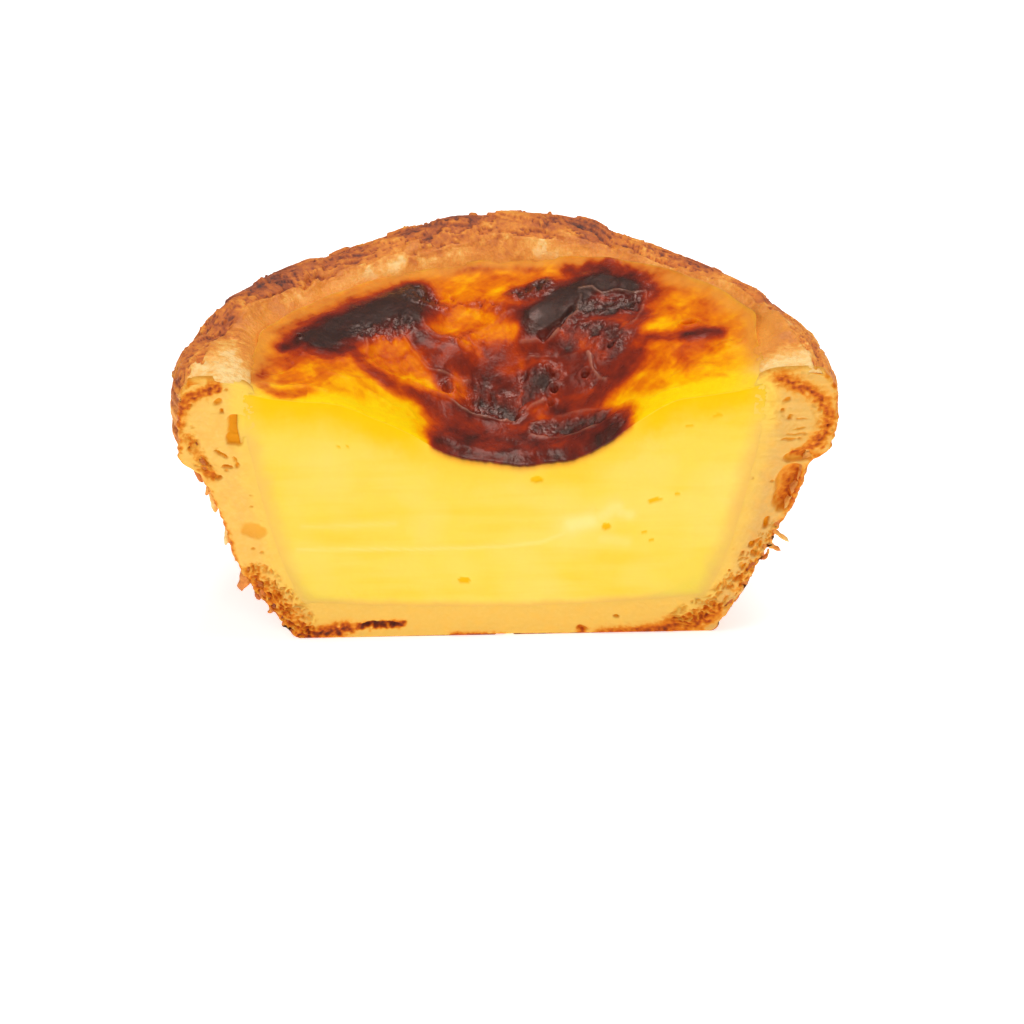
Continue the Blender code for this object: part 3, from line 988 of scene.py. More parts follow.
    def scorch(self, across: Array, behind: Array, edge_gap: Array) -> Array:
        """How burnt the skin is, from 0 to 1.

        The strokes are joined by a soft maximum, a golden border is added along the pastry,
        and the windows pull back towards their own level. A noise, its streaks, its creases
        and the blisters break up what lies between pale and black.

        Args:
            across: Places across the cut.
            behind: Places behind the cut.
            edge_gap: Distance from the pastry.

        Returns:
            The heat of every place.
        """
        x, y = self.drift(across, behind)
        heat = np.maximum(gather(self.burns, x, y) - self.fade, 0.0) / (1.0 - self.fade)
        border = self.border_heat * np.exp(-np.maximum(edge_gap, 0.0) / self.border_width)
        border *= climb(behind, 0.5, 4.0)
        heat = (heat**3 + border**3) ** (1.0 / 3.0)
        for window in self.windows:
            heat = mix(heat, window.amount, window.cover(x, y) * 0.9)
        mottle = fractal(spots(x / 2.4, y / 2.4, 1.0), 4, 21)
        streaks = fractal(spots((x + y) / 6.0, (x - y) / 0.9, 1.0), 3, 22)
        dip = climb(across, -11.0, -7.0) * fall(across, 11.5, 15.0)
        heat = heat * mix(climb(behind, 0.2, 4.0) * 0.75 + 0.25, 1.0, np.maximum(dip, across < -21.0))
        middle = climb(heat, 0.04, 0.3) * (1.0 - 0.5 * climb(heat, 0.75, 0.95))
        specks = self.blisters(x, y)[1]
        veins = creases(spots(x / 3.0, y / 3.4, 6.0), 3, 23) - 0.45
        uneven = 0.22 * mottle + 0.08 * streaks + 0.14 * veins
        return limit(heat + uneven * middle + 0.12 * specks)

    def blisters(self, x: Array, y: Array) -> tuple[Array, Array]:
        """Round caps and pits on scattered cells of two sizes, where the skin blistered.

        Returns:
            Their height, and how dark they are, both at each place.
        """
        mask = climb(gather(self.blistered, x, y), 0.25, 0.75)
        height = np.zeros_like(x)
        dark = np.zeros_like(x)
        for size, rise, seed in ((1.15, 0.17, 5), (0.5, 0.1, 8)):
            near, _, tag = cells(spots(x / size, y / (size * 1.1), 3.0), seed)
            cap = np.maximum(1.0 - (near / (0.3 + 0.5 * tag)) ** 2, 0.0)
            sunk = (tag > 0.2) & (tag < 0.6)
            height += np.where(sunk, -1.3, 1.0) * rise * cap
            dark += np.where(sunk, 0.8, -0.4) * cap
        rough = fractal(spots(x / 0.9, y / 1.0, 9.0), 3, 9)
        return (height + 0.22 * rough) * mask, (dark - 0.8 * rough) * mask

    def ridge_lines(self, x: Array, y: Array) -> Array:
        """Height of the thin ridges, each a sharp bell that swells and thins along its way."""
        lift = np.zeros_like(x)
        for ridge in self.ridges:
            gap = trace_distance(ridge.trace, x, y) / ridge.reach
            lift = np.maximum(lift, ridge.amount * np.exp(-(gap**1.4)))
        return 0.6 * lift * (1.0 + 0.6 * noise(spots(x / 1.7, y / 1.7, 2.0), 45))

    def relief(self, across: Array, behind: Array, heat: Array) -> Array:
        """Height of the skin over the custard's plain top.

        Swellings, ridges, cracks, pits and blisters are drawn; shallow folds are creases of
        a drifting noise, and the skin of the sunken middle curls down towards the cut.
        """
        x, y = self.drift(across, behind)
        lift = np.zeros_like(across)
        for swelling in self.swellings:
            lift += swelling.amount * swelling.cover(x, y)
        lift += self.ridge_lines(x, y)
        for crack in self.cracks:
            gap = trace_distance(crack.trace, x, y) / crack.reach
            lift -= crack.amount * np.exp(-(gap**2))
        for pit in self.pits:
            gap = trace_distance(pit.trace, across, behind) / pit.reach
            rim = 0.35 * np.exp(-((gap - 1.2) ** 2) * 6.0)
            lift += pit.amount * (rim - fall(gap, 0.3, 1.0))
        lift += self.blisters(x, y)[0]
        brown = climb(heat, 0.25, 0.55) * (1.0 - 0.6 * climb(heat, 0.9, 1.0))
        folds = creases(spots(x / 4.2, y / 5.0, 4.0), 2, 41)
        lift += (0.04 + 0.1 * brown) * (folds - 0.4)
        grit = 0.5 + brown + climb(heat, 0.8, 0.95)
        lift += 0.035 * fractal(spots(x / 1.6, y / 1.6, 5.0), 3, 51) * grit
        lift += 0.26 * noise(spots(x / 4.0, y / 4.0, 6.0), 52)
        middle = climb(across, -9.5, -5.0) * fall(across, 10.5, 14.5)
        lift += self.dip_curl * middle * (1.0 - np.exp(-((behind / 1.1) ** 2))) * np.exp(-behind / 9.0)
        return lift

    def roughness(self, across: Array, behind: Array, heat: Array) -> Array:
        """Glossy where the caramel melted, duller on charred arches and on bare custard."""
        haze = 0.07 * fractal(spots(across / 1.5, behind / 1.5, 8.0), 3, 61)
        melted = climb(heat, 0.3, 0.55) * fall(heat, 0.9, 0.99)
        return np.clip(0.4 - 0.14 * melted + 0.12 * climb(heat, 0.9, 1.0) + haze, 0.14, 0.8)


@dataclass
class Custard:
    """The filling: one closed mesh of its skin, its cut face and its hidden underside."""

    form: TartForm
    skin: BurntSkin = field(default_factory=BurntSkin)
    columns: int = 371
    skin_rows: int = 166
    face_rows: int = 84
    under_columns: int = 60
    under_rows: int = 14
    bury: float = 0.8
    skin_thickness: float = 0.38
    edge_rise: float = 1.1
    edge_width: float = 1.9
    fields: tuple[str, ...] = (
        "scorch", "skin", "border", "glint", "blister", "painted_backlight_glow", "soak", "smear", "pore", "crumb",
        "roughness", "shine",
    )
    pores: tuple[Pocket, ...] = each(Pocket,
        (3.5, 20.9, 0.8, 0.5, 0, 0.3, 2.2), (-4.4, 7.7, 0.75, 0.5, -10, 0.3, 2),
        (16.3, 17.9, 0.9, 0.36, 12, 0.25, 2), (11, 14.5, 0.6, 0.55, 25, 0.25, 2),
        (15.3, 13.7, 0.42, 0.26, 0, 0.2, 2), (15.9, 12.6, 0.3, 0.28, 0, 0.2, 2),
        (-17.8, 25.6, 0.24, 0.24, 0, 0.15, 2), (-16.8, 25.6, 0.22, 0.24, 0, 0.15, 2),
        (18.7, 18.8, 0.4, 0.22, 0, 0.2, 2), (22.8, 28.8, 0.6, 0.3, 20, 0.1, 2),
        (19.9, 27.6, 0.5, 0.26, 0, 0.1, 2),
    )
    smears: tuple[Stroke, ...] = each(Stroke,
        (((7.4, 14.9), (9.2, 15.3)), 1.1, 0.9), (((10.6, 15.9), (12, 17)), 0.8, 0.6),
        (((12.6, 16.4), (13.6, 16)), 0.6, 0.6),
        (((-22.3, 12.2), (-9.2, 12), (-0.5, 12.1), (3.9, 12.6), (6.6, 13.8)), 0.2, 0.45, 2.4),
        (((-22, 15.2), (-12, 15.4)), 0.25, 0.25, 2.4), (((10.9, 12.9), (13.2, 12.4)), 0.6, 0.35),
    )

    def skin_sheet(self) -> tuple[Array, Fields]:
        """Places and fields of the top.

        A square grid is laid on a half disc by shrinking each number by the root of one
        less half the other's square, and is then stretched to the cup's radius, so that
        its first row is the straight edge at the cut.

        Returns:
            The grid of places, and its fields.
        """
        u, v = np.meshgrid(np.linspace(-1, 1, self.columns), np.linspace(0, 1, self.skin_rows))
        disc_x, disc_y = u * np.sqrt(1.0 - v**2 / 2.0), v * np.sqrt(1.0 - u**2 / 2.0)
        angle = np.arctan2(disc_y, disc_x)
        edge = self.form.contact_radius(angle) + self.bury
        across, behind = disc_x * edge, disc_y * edge
        edge_gap = edge - self.bury - np.hypot(across, behind)
        heat = self.skin.scorch(across, behind, edge_gap)
        height = self.form.custard_height(across, behind) + self.skin.relief(across, behind, heat)
        height += self.edge_rise * np.exp(-np.maximum(edge_gap + self.bury, 0.0) / self.edge_width)
        height -= 0.1 * np.exp(-((behind / 0.3) ** 2))
        ridges = self.skin.ridge_lines(*self.skin.drift(across, behind))
        patchy = 1.0 + 0.5 * noise(spots(across / 1.8, behind / 1.8, 5.0), 46)
        border = np.exp(-np.maximum(edge_gap, 0.0) / 1.1) * fall(heat, 0.35, 0.6) * patchy
        blister = climb(gather(self.skin.blistered, across, behind), 0.25, 0.75)
        blister = blister * climb(heat, 0.3, 0.6)
        shine = 0.08 + 0.17 * climb(heat, 0.4, 0.7) + 0.14 * climb(heat, 0.8, 0.95)
        fields = {
            "scorch": heat,
            "skin": np.ones_like(heat),
            "border": limit(border),
            "crumb": climb(behind, 1.0, 6.0),
            # glint: painted highlight along the thin ridges of the hotter skin
            "glint": 0.3 * climb(ridges, 0.1, 0.3) * climb(heat, 0.3, 0.6),
            "blister": blister,
            "roughness": self.skin.roughness(across, behind, heat) - 0.08 * blister,
            "shine": shine + 0.4 * blister,
        }
        return aside(across, self.form.cut_y + behind, height), fields

    def face_sheet(self, top: Array, heat: Array) -> tuple[Array, Fields]:
        """Places and fields of the cut face, hung from the skin's front edge.

        Each column runs from the skin's edge down to the floor, and its distance from the
        middle shrinks with the cup's radius at each height.

        Args:
            top: Places along the skin's front edge.
            heat: How burnt that edge is.

        Returns:
            The grid of places below the edge, and its fields.
        """
        form = self.form
        down = np.linspace(0.0, 1.0, self.face_rows + 1)[1:, None] ** 1.12
        share = np.linspace(-1.0, 1.0, self.columns)
        low = form.floor_height(share * form.floor_radius) - 0.5
        height = mix(top[:, 2], low, down)
        side = np.where(share < 0, np.abs(top[0, 0]), np.abs(top[-1, 0]))
        reach = form.cup_radius(height) + self.bury
        across = share * mix(reach, side, np.exp(-down * 14.0))
        below = top[:, 2] - height
        wander = 0.7 * noise(spots(across / 3.0, height / 3.0, 1.0), 71)
        wander += 0.35 * noise(spots(across / 0.8, height / 0.8, 1.0), 72)
        rim_gap = form.cup_radius(height) - np.abs(across)
        floor_gap = height - form.floor_height(np.abs(across))
        edge_gap = np.minimum(rim_gap * 0.55, floor_gap * 1.2)
        soak = fall(edge_gap + 0.35 * wander, -0.15, 1.35)
        soak *= 1.0 - 0.8 * climb(height, 26.0, 30.0)
        # painted light: the glow of light shining through the custard just under its skin, weaker in the
        # middle
        painted_backlight_glow = fall(below + wander, 0.8, 5.6)
        painted_backlight_glow *= mix(0.35, 1.0, climb(np.abs(across - 2.5), 8.0, 14.0))
        rag = 1.0 + 0.7 * noise(spots(across / 0.6, below * 0.0, 3.0), 75)
        line = np.exp(-((below / (self.skin_thickness * np.maximum(rag, 0.3))) ** 2))
        scorched = climb(heat, 0.3, 0.6) * line
        tinted = climb(heat, 0.12, 0.4) * np.exp(-((below / 0.7) ** 2)) * 0.7
        pore = np.zeros_like(across)
        for hole in self.pores:
            pore = np.maximum(pore, hole.cover(across + 0.25 * wander, height + 0.2 * wander))
        smear = gather(self.smears, across + 0.4 * wander, height + 0.12 * wander)
        drag = fractal(spots(across / 9.0, height / 0.7, 2.0), 3, 73)
        inset = 0.02 * drag + 0.12 * pore - 0.04 * smear
        inset += 0.02 * fractal(spots(across / 1.2, height / 1.2, 4.0), 3, 74)
        inset += 0.4 * np.maximum(-rim_gap, 0.0) + 0.2 * np.maximum(-floor_gap, 0.0)
        inset -= 0.1 * np.exp(-((below / 0.3) ** 2)) * climb(heat, 0.4, 0.8)
        shown = np.maximum(scorched, tinted)
        bright = fall(below, 0.2, 0.9)
        fields = {
            "scorch": limit(heat * mix(0.5, 1.0, line)),
            "skin": shown,
            "painted_backlight_glow": painted_backlight_glow * (1.0 - 0.6 * soak),
            "soak": soak * (1.0 - shown),
            "smear": smear * 0.8,
            "pore": pore,
            "crumb": 0.3 * crumb_tan(across, height),
            "roughness": 0.4 + 0.1 * soak + 0.04 * drag,
            "shine": mix(0.12, 0.05, bright),
        }
        return aside(across, form.cut_y + np.maximum(inset, -0.15), height), fields

    def underside(self) -> Array:
        """Places of the hidden side: down the cup and over its floor to the axis."""
        form = self.form
        drop = np.linspace(0.0, 1.0, self.under_rows)[:, None]
        angle = np.linspace(0.0, math.pi, self.under_columns)[None, :]
        on_wall = limit(drop / form.floor_start)
        inward = limit((drop - form.floor_start) / (1.0 - form.floor_start))
        low = form.floor_height(form.floor_radius)
        height = mix(form.contact_height(angle) - 1.4, low, on_wall)
        radius = (form.cup_radius(height) + self.bury * 0.5) * (1.0 - inward)
        height = np.where(inward > 0, form.floor_height(radius), height) - 0.55
        radius, height, angle = np.broadcast_arrays(radius, height, angle)
        places = polar(radius, angle, height, form.cut_y)
        places[..., 1] += 0.5
        return places

    def build(self, finish: CustardFinish) -> bpy.types.Object:
        """Join skin, cut face and underside into one closed mesh."""
        maker = MeshMaker(self.fields)
        top, top_fields = self.skin_sheet()
        face, face_fields = self.face_sheet(top[0], top_fields["scorch"][0])
        skin_index = maker.add_points(top, top_fields)
        face_index = maker.add_points(face, face_fields)
        hidden_fields = {"soak": 1.0, "crumb": 1.0, "roughness": 0.5}
        under = self.underside()
        under_index = maker.add_points(under[:-1], hidden_fields)
        hub = int(maker.add_points(under[-1:, 0], hidden_fields)[0])
        maker.add_grid(skin_index, turned=True)
        maker.add_grid(np.concatenate([skin_index[:1], face_index]))
        maker.add_grid(under_index)
        maker.add_fan(hub, under_index[-1], turned=True)
        right = np.concatenate([skin_index[:1, -1], face_index[:, -1]])
        left = np.concatenate([skin_index[:1, 0], face_index[:, 0]])
        outline = np.concatenate([right, face_index[-1, ::-1][1:], left[::-1][1:]])
        hidden = np.concatenate([under_index[:, 0], [hub], under_index[::-1, -1]])
        maker.add_zip(outline, hidden)
        arc = np.concatenate([skin_index[:, -1], skin_index[-1, ::-1][1:], skin_index[::-1, 0][1:]])
        maker.add_zip(arc, under_index[0], turned=True)
        return maker.build("custard_filling", finish.make())


# The pastry


@dataclass(frozen=True)
class CutEnd:
    """How the skin ends at the cut: a thin brink, then a recess that the cut slab fills."""

    setback: float = 0.25
    thickness: float = 0.6
    recess: float = 2.2
    pinch_left: float = 1.3
    pinch_right: float = 0.35
    pinch_depth: float = 1.6

    def squeeze(self, places: Array, cut_y: float) -> Array:
        """How far the skin is pinched in near the cut."""
        pinch = np.where(places[..., 0] < 0, self.pinch_left, self.pinch_right)
        return pinch * np.exp(-(((places[..., 1] - cut_y) / self.pinch_depth) ** 2))

    def recessed(self, places: Array) -> Array:
        """Add two columns at each end of a grid: the brink's inner edge and the recess.

        Args:
            places: Grid whose columns run along the section.

        Returns:
            The wider grid.
        """
        ends = []
        for column in (0, -1):
            line = places[:, column]
            tangent = np.gradient(line, axis=0)
            inward = aside(tangent[:, 2], np.zeros(len(line)), -tangent[:, 0])
            inward /= np.maximum(np.linalg.norm(inward, axis=-1, keepdims=True), 1e-9)
            middle = line.mean(axis=0)
            facing = np.sign(np.sum(inward * (middle - line)))
            brink = line + inward * facing * self.thickness
            deep = brink + np.array([0.0, self.recess, 0.0])
            ends.append(np.stack([brink, deep], axis=1))
        return np.concatenate([ends[0][:, ::-1], places, ends[1]], axis=1)

    def widen(self, values: Array) -> Array:
        """Repeat a field's end columns for the added ones."""
        return np.pad(values, ((0, 0), (2, 2)), mode="edge")


@dataclass(frozen=True)
class LipLook:
    """Where the lip's skin is torn or dark, and where its slope gets painted highlights, by angle in degrees
    and way over the crest.
    """

    torn_from: Trace = (
        (0, 0.4), (12, -0.2), (30, -0.6), (50, -1.4), (66, -1.8), (75, -2.4),
        (90, -2.6), (111, -2.9), (130, -2.3), (145, -1.5), (160, -1.4), (170, -0.2), (180, 1.2),
    )
    dark: tuple[Stroke, ...] = each(Stroke,
        (((154, 0.5), (148, 1.4), (140, 1.2), (133, 0.6)), 1.3, 0.62),
        (((129, -0.6), (120, -0.4)), 0.9, 0.4), (((108, -0.4), (100, 0.4), (94, 0.2)), 0.9, 0.46),
        (((82, -0.8), (77, -0.6)), 0.8, 0.36), (((74, 0.4), (68, 1)), 1.1, 0.5),
        (((62, -0.4), (50, 0.6), (44, 0.8)), 0.8, 0.5), (((38, 0.8), (30, 1.2)), 0.8, 0.34),
        (((23, -1.2), (18, -1.7), (14, -1.6)), 0.9, 0.66), (((30, -1), (24, -1.3)), 0.5, 0.34),
        (((58, -4.4), (44, -4.8), (28, -5)), 2, 0.22), (((168, 1.5), (174, 3.2)), 0.8, 0.3),
        (((160, 3.4), (166, 5.2)), 0.8, 0.34),
    )
    # pale: painted highlights, cream patches low on the slope where it catches the light
    pale: tuple[Stroke, ...] = each(Stroke,
        (((134, -5.2), (124, -4.6), (112, -4.6)), 1, 0.3), (((106, -5), (98, -5)), 0.8, 0.16),
        (((86, -3.4), (80, -3.4)), 0.8, 0.14), (((80, -5), (74, -4.6)), 0.9, 0.3),
        (((168, -3), (174, -3.4)), 1.5, 0.2),
    )
    raised: tuple[Stroke, ...] = each(Stroke,
        (((100, 0), (88, 0), (74, 0)), 3, 0.5, 4), (((152, 0.8), (140, 1.2), (130, 1)), 2.4, 0.6, 4),
        (((50, 1), (34, 1)), 2, 0.35, 4), (((26, -0.8), (16, -1.2)), 1.3, 0.55, 4),
        (((65, 0), (63.5, 0.6)), 1.6, -0.5, 4), (((156.5, 0), (158, 1)), 1.8, -0.5, 4),
    )
    degrees_per_length: float = 1.75

    def laid(self, marks: tuple[Stroke, ...], degrees: Array, way: Array) -> Array:
        """Join strokes whose first number is an angle, measured along the rim instead."""
        total = np.zeros(degrees.shape)
        for stroke in marks:
            trace = tuple((angle / self.degrees_per_length, over) for angle, over in stroke.trace)
            flat = Stroke(trace, stroke.reach, stroke.amount, stroke.edge)
            total = total + stroke.amount * flat.cover(degrees / self.degrees_per_length, way)
        return total


@dataclass
class PastryLip:
    """The rolled rim: smooth slope towards the custard, torn layers from the crest outward."""

    form: TartForm
    look: LipLook = field(default_factory=LipLook)
    end: CutEnd = field(default_factory=CutEnd)
    columns: int = 800
    slope_rows: int = 44
    outer_rows: int = 66
    hidden_rows: int = 5
    lowest_turn: float = math.radians(-72.0)
    torn_drop: float = 0.3
    plate_rise: float = 0.3
    layer_count: float = 3.4

    def turns(self) -> Array:
        """Way round the section of every visible row, from the slope's foot to under the lip."""
        slope = np.linspace(math.pi * 0.985, math.pi / 2.0, self.slope_rows)
        outer = np.linspace(math.pi / 2.0, self.lowest_turn, self.outer_rows + 1)[1:]
        return np.concatenate([slope, outer])

    def surface(self) -> tuple[Array, Fields]:
        """Places and fields of the visible part.

        The turned surface is pushed along its normal, in lumps and folds on the slope.
        Past a jagged brink the skin is torn: a noise that is stretched round the rim is cut
        into terraces, whose plates lie higher and are paler than what lies between them.

        Returns:
            The grid of places, and its fields.
        """
        form = self.form
        turn, angle = np.meshgrid(self.turns(), np.linspace(0.0, math.pi, self.columns), indexing="ij")
        radius, height = form.lip_line(turn, angle)
        outside = fall(turn, math.pi / 4.0, math.pi / 2.0)
        radius = mix(radius, form.swollen(radius, height, angle), outside)
        smooth = polar(radius, angle, form.waved(height, angle), form.cut_y)
        way = walked(smooth)
        way = way - way[self.slope_rows - 1][None, :]
        degrees = np.degrees(angle)
        run = angle * form.crest_radius
        torn_edges = np.interp(degrees, *zip(*self.look.torn_from))
        jag = fractal(spots(run / 6.5, way / 2.2, 1.0), 5, 82, 0.55)
        torn = climb(way + 1.9 * jag - torn_edges, -0.1, 0.1)
        brim = np.exp(-(((way + 1.9 * jag - torn_edges + 0.25) / 0.3) ** 2)) * (way < 3.0)
        drift = noise(spots(run / 6.0, way / 3.0, 1.0), 83)
        stretched = spots(run / 6.4 + 0.5 * drift, way / 1.7 + 0.6 * drift, 2.0)
        plate, brink = terraces(fractal(stretched, 4, 84, 0.55), self.layer_count, 0.86, 0.7)
        right = fall(degrees, 48.0, 66.0)
        over = climb(way, -0.5, 1.5)
        rings = noise(spots(run / 16.0 + 0.2 * drift, way / 0.7, 3.0), 85)
        rings += 0.6 * noise(spots(run / 8.0, way / 0.36, 3.0), 86)
        slant = noise(spots((run + 1.1 * way) / 7.0, (way - 0.55 * run) / 1.1, 4.0), 87)
        lumps = fractal(smooth / 6.0, 2, 88)
        folds = creases(aside(run / 2.6 + 0.4 * drift, way / 5.5, run * 0.0), 3, 93) - 0.4
        fine = fractal(smooth / 0.9, 3, 89)
        left_side = climb(degrees, 140.0, 156.0) * climb(way, 0.8, 2.4)
        raised = self.look.laid(self.look.raised, degrees, way)
        push = 0.35 * lumps + raised * climb(np.abs(np.cos(angle)), 1.0, 0.985)
        raise_plates = self.plate_rise * self.layer_count * (plate - 0.45) * mix(1.0, 0.55, right)
        push += torn * (raise_plates - self.torn_drop)
        push += 0.16 * brim + 0.08 * rings * over * mix(0.5, 1.5, right)
        push += 0.2 * slant * left_side + 0.06 * fine * mix(0.4, 1.2, torn)
        push += (1.0 - torn) * (0.16 * fractal(smooth / 1.9, 3, 90) + 0.14 * folds)
        pits = pinholes(aside(run / 1.5, way / 1.1, run * 0.0), 31, 0.06, 0.28, 0.72) * torn
        push -= 0.32 * pits
        push *= climb(way, -8.2, -5.6)
        push -= self.end.squeeze(smooth, form.cut_y) * climb(way, -1.0, 2.5)
        places = smooth + grid_normals(smooth) * push[..., None]
        places[..., 1] = np.maximum(places[..., 1], form.cut_y + self.end.setback)
        contact = form.contact_height(angle)
        fields = self.colours(degrees, way, smooth, torn, plate, brink, folds, pits, slant * left_side)
        fields["glaze"] = fall(smooth[..., 2] - contact + 0.4 * drift, 0.5, 2.4) * (1.0 - torn)
        browned = climb(degrees, 20.0, 32.0) * fall(degrees, 58.0, 70.0)
        fields["glaze"] *= (1.0 - self.near_cut(degrees)) * (1.0 - 0.6 * browned)
        return places, fields

    def near_cut(self, degrees: Array) -> Array:
        """1 at the cut and 0 from some five millimetres behind it."""
        return climb(np.abs(np.cos(np.radians(degrees))), 0.975, 0.997)

    def colours(self, degrees: Array, way: Array, smooth: Array, torn: Array, plate: Array,
                brink: Array, folds: Array, pits: Array, slant: Array) -> Fields:
        """Fields of colour and gloss.

        Args:
            degrees: Angle round the axis.
            way: Way over the crest, negative towards the custard.
            smooth: Places before the relief.
            torn: 1 where the skin is torn.
            plate: Height of the torn layers.
            brink: 1 at their broken edges.
            folds: Wrinkles up the slope.
            pits: 1 in the small holes.
            slant: Wrinkles of the left side.

        Returns:
            The fields bake and roughness.
        """
        broad = fractal(smooth / 5.0, 3, 91)
        patch = fractal(smooth / 2.0, 3, 92)
        crisp = climb(fractal(smooth / 1.5, 4, 94, 0.65), 0.02, 0.3)
        slope = 0.42 + 0.15 * broad + 0.1 * patch - 0.16 * crisp + 0.14 * folds
        # painted highlights: the pale strokes lighten the slope
        slope -= self.look.laid(self.look.pale, degrees, way)
        slope = mix(slope, 0.04, 0.9 * self.near_cut(degrees))
        # brink darkens the foot of each layer's edge: partly the burnt edges of the layers, partly painted
        # shade in the crease under the step
        layers = 0.52 + 0.12 * broad + 0.12 * patch - 0.34 * (plate - 0.4) + 0.2 * brink - 0.14 * crisp
        right = fall(degrees, 40.0, 66.0)
        sides = climb(way, 1.5, 4.0)
        layers -= 0.12 * right + 0.1 * sides
        bake = mix(slope, layers, torn) + 0.3 * pits + 0.1 * slant
        bake += 0.38 * self.look.laid(self.look.dark, degrees, way)
        rough = 0.5 + 0.16 * torn + 0.05 * patch
        return {"bake": limit(bake), "roughness": np.clip(rough, 0.3, 0.9)}

    def build(self, finish: PastryFinish) -> bpy.types.Object:
        """Close the section behind the rim and both its ends."""
        maker = MeshMaker(PASTRY_FIELDS)
        places, fields = self.surface()
        share = np.linspace(0.0, 1.0, self.hidden_rows + 2)[1:-1, None, None]
        hidden = mix(places[-1:], places[:1], share)
        hidden[..., 1] = np.maximum(hidden[..., 1], self.form.cut_y + self.end.setback + self.end.recess)
        ring = self.end.recessed(np.concatenate([places, hidden]))
        wide = {name: self.end.widen(np.pad(value, ((0, self.hidden_rows), (0, 0)), mode="edge"))
                for name, value in fields.items()}
        index = maker.add_points(ring, wide)
        maker.add_grid(np.concatenate([index, index[:1]]))
        crest = self.slope_rows - 1
        for column, turned in ((0, False), (-1, True)):
            chain = index[:, column]
            inner = np.concatenate([chain[:crest][::-1], chain[-1:]])
            outer = chain[crest + 1:-1]
            maker.close_end(chain[crest], inner, outer, turned)
        return maker.build("pastry_lip", finish.make())


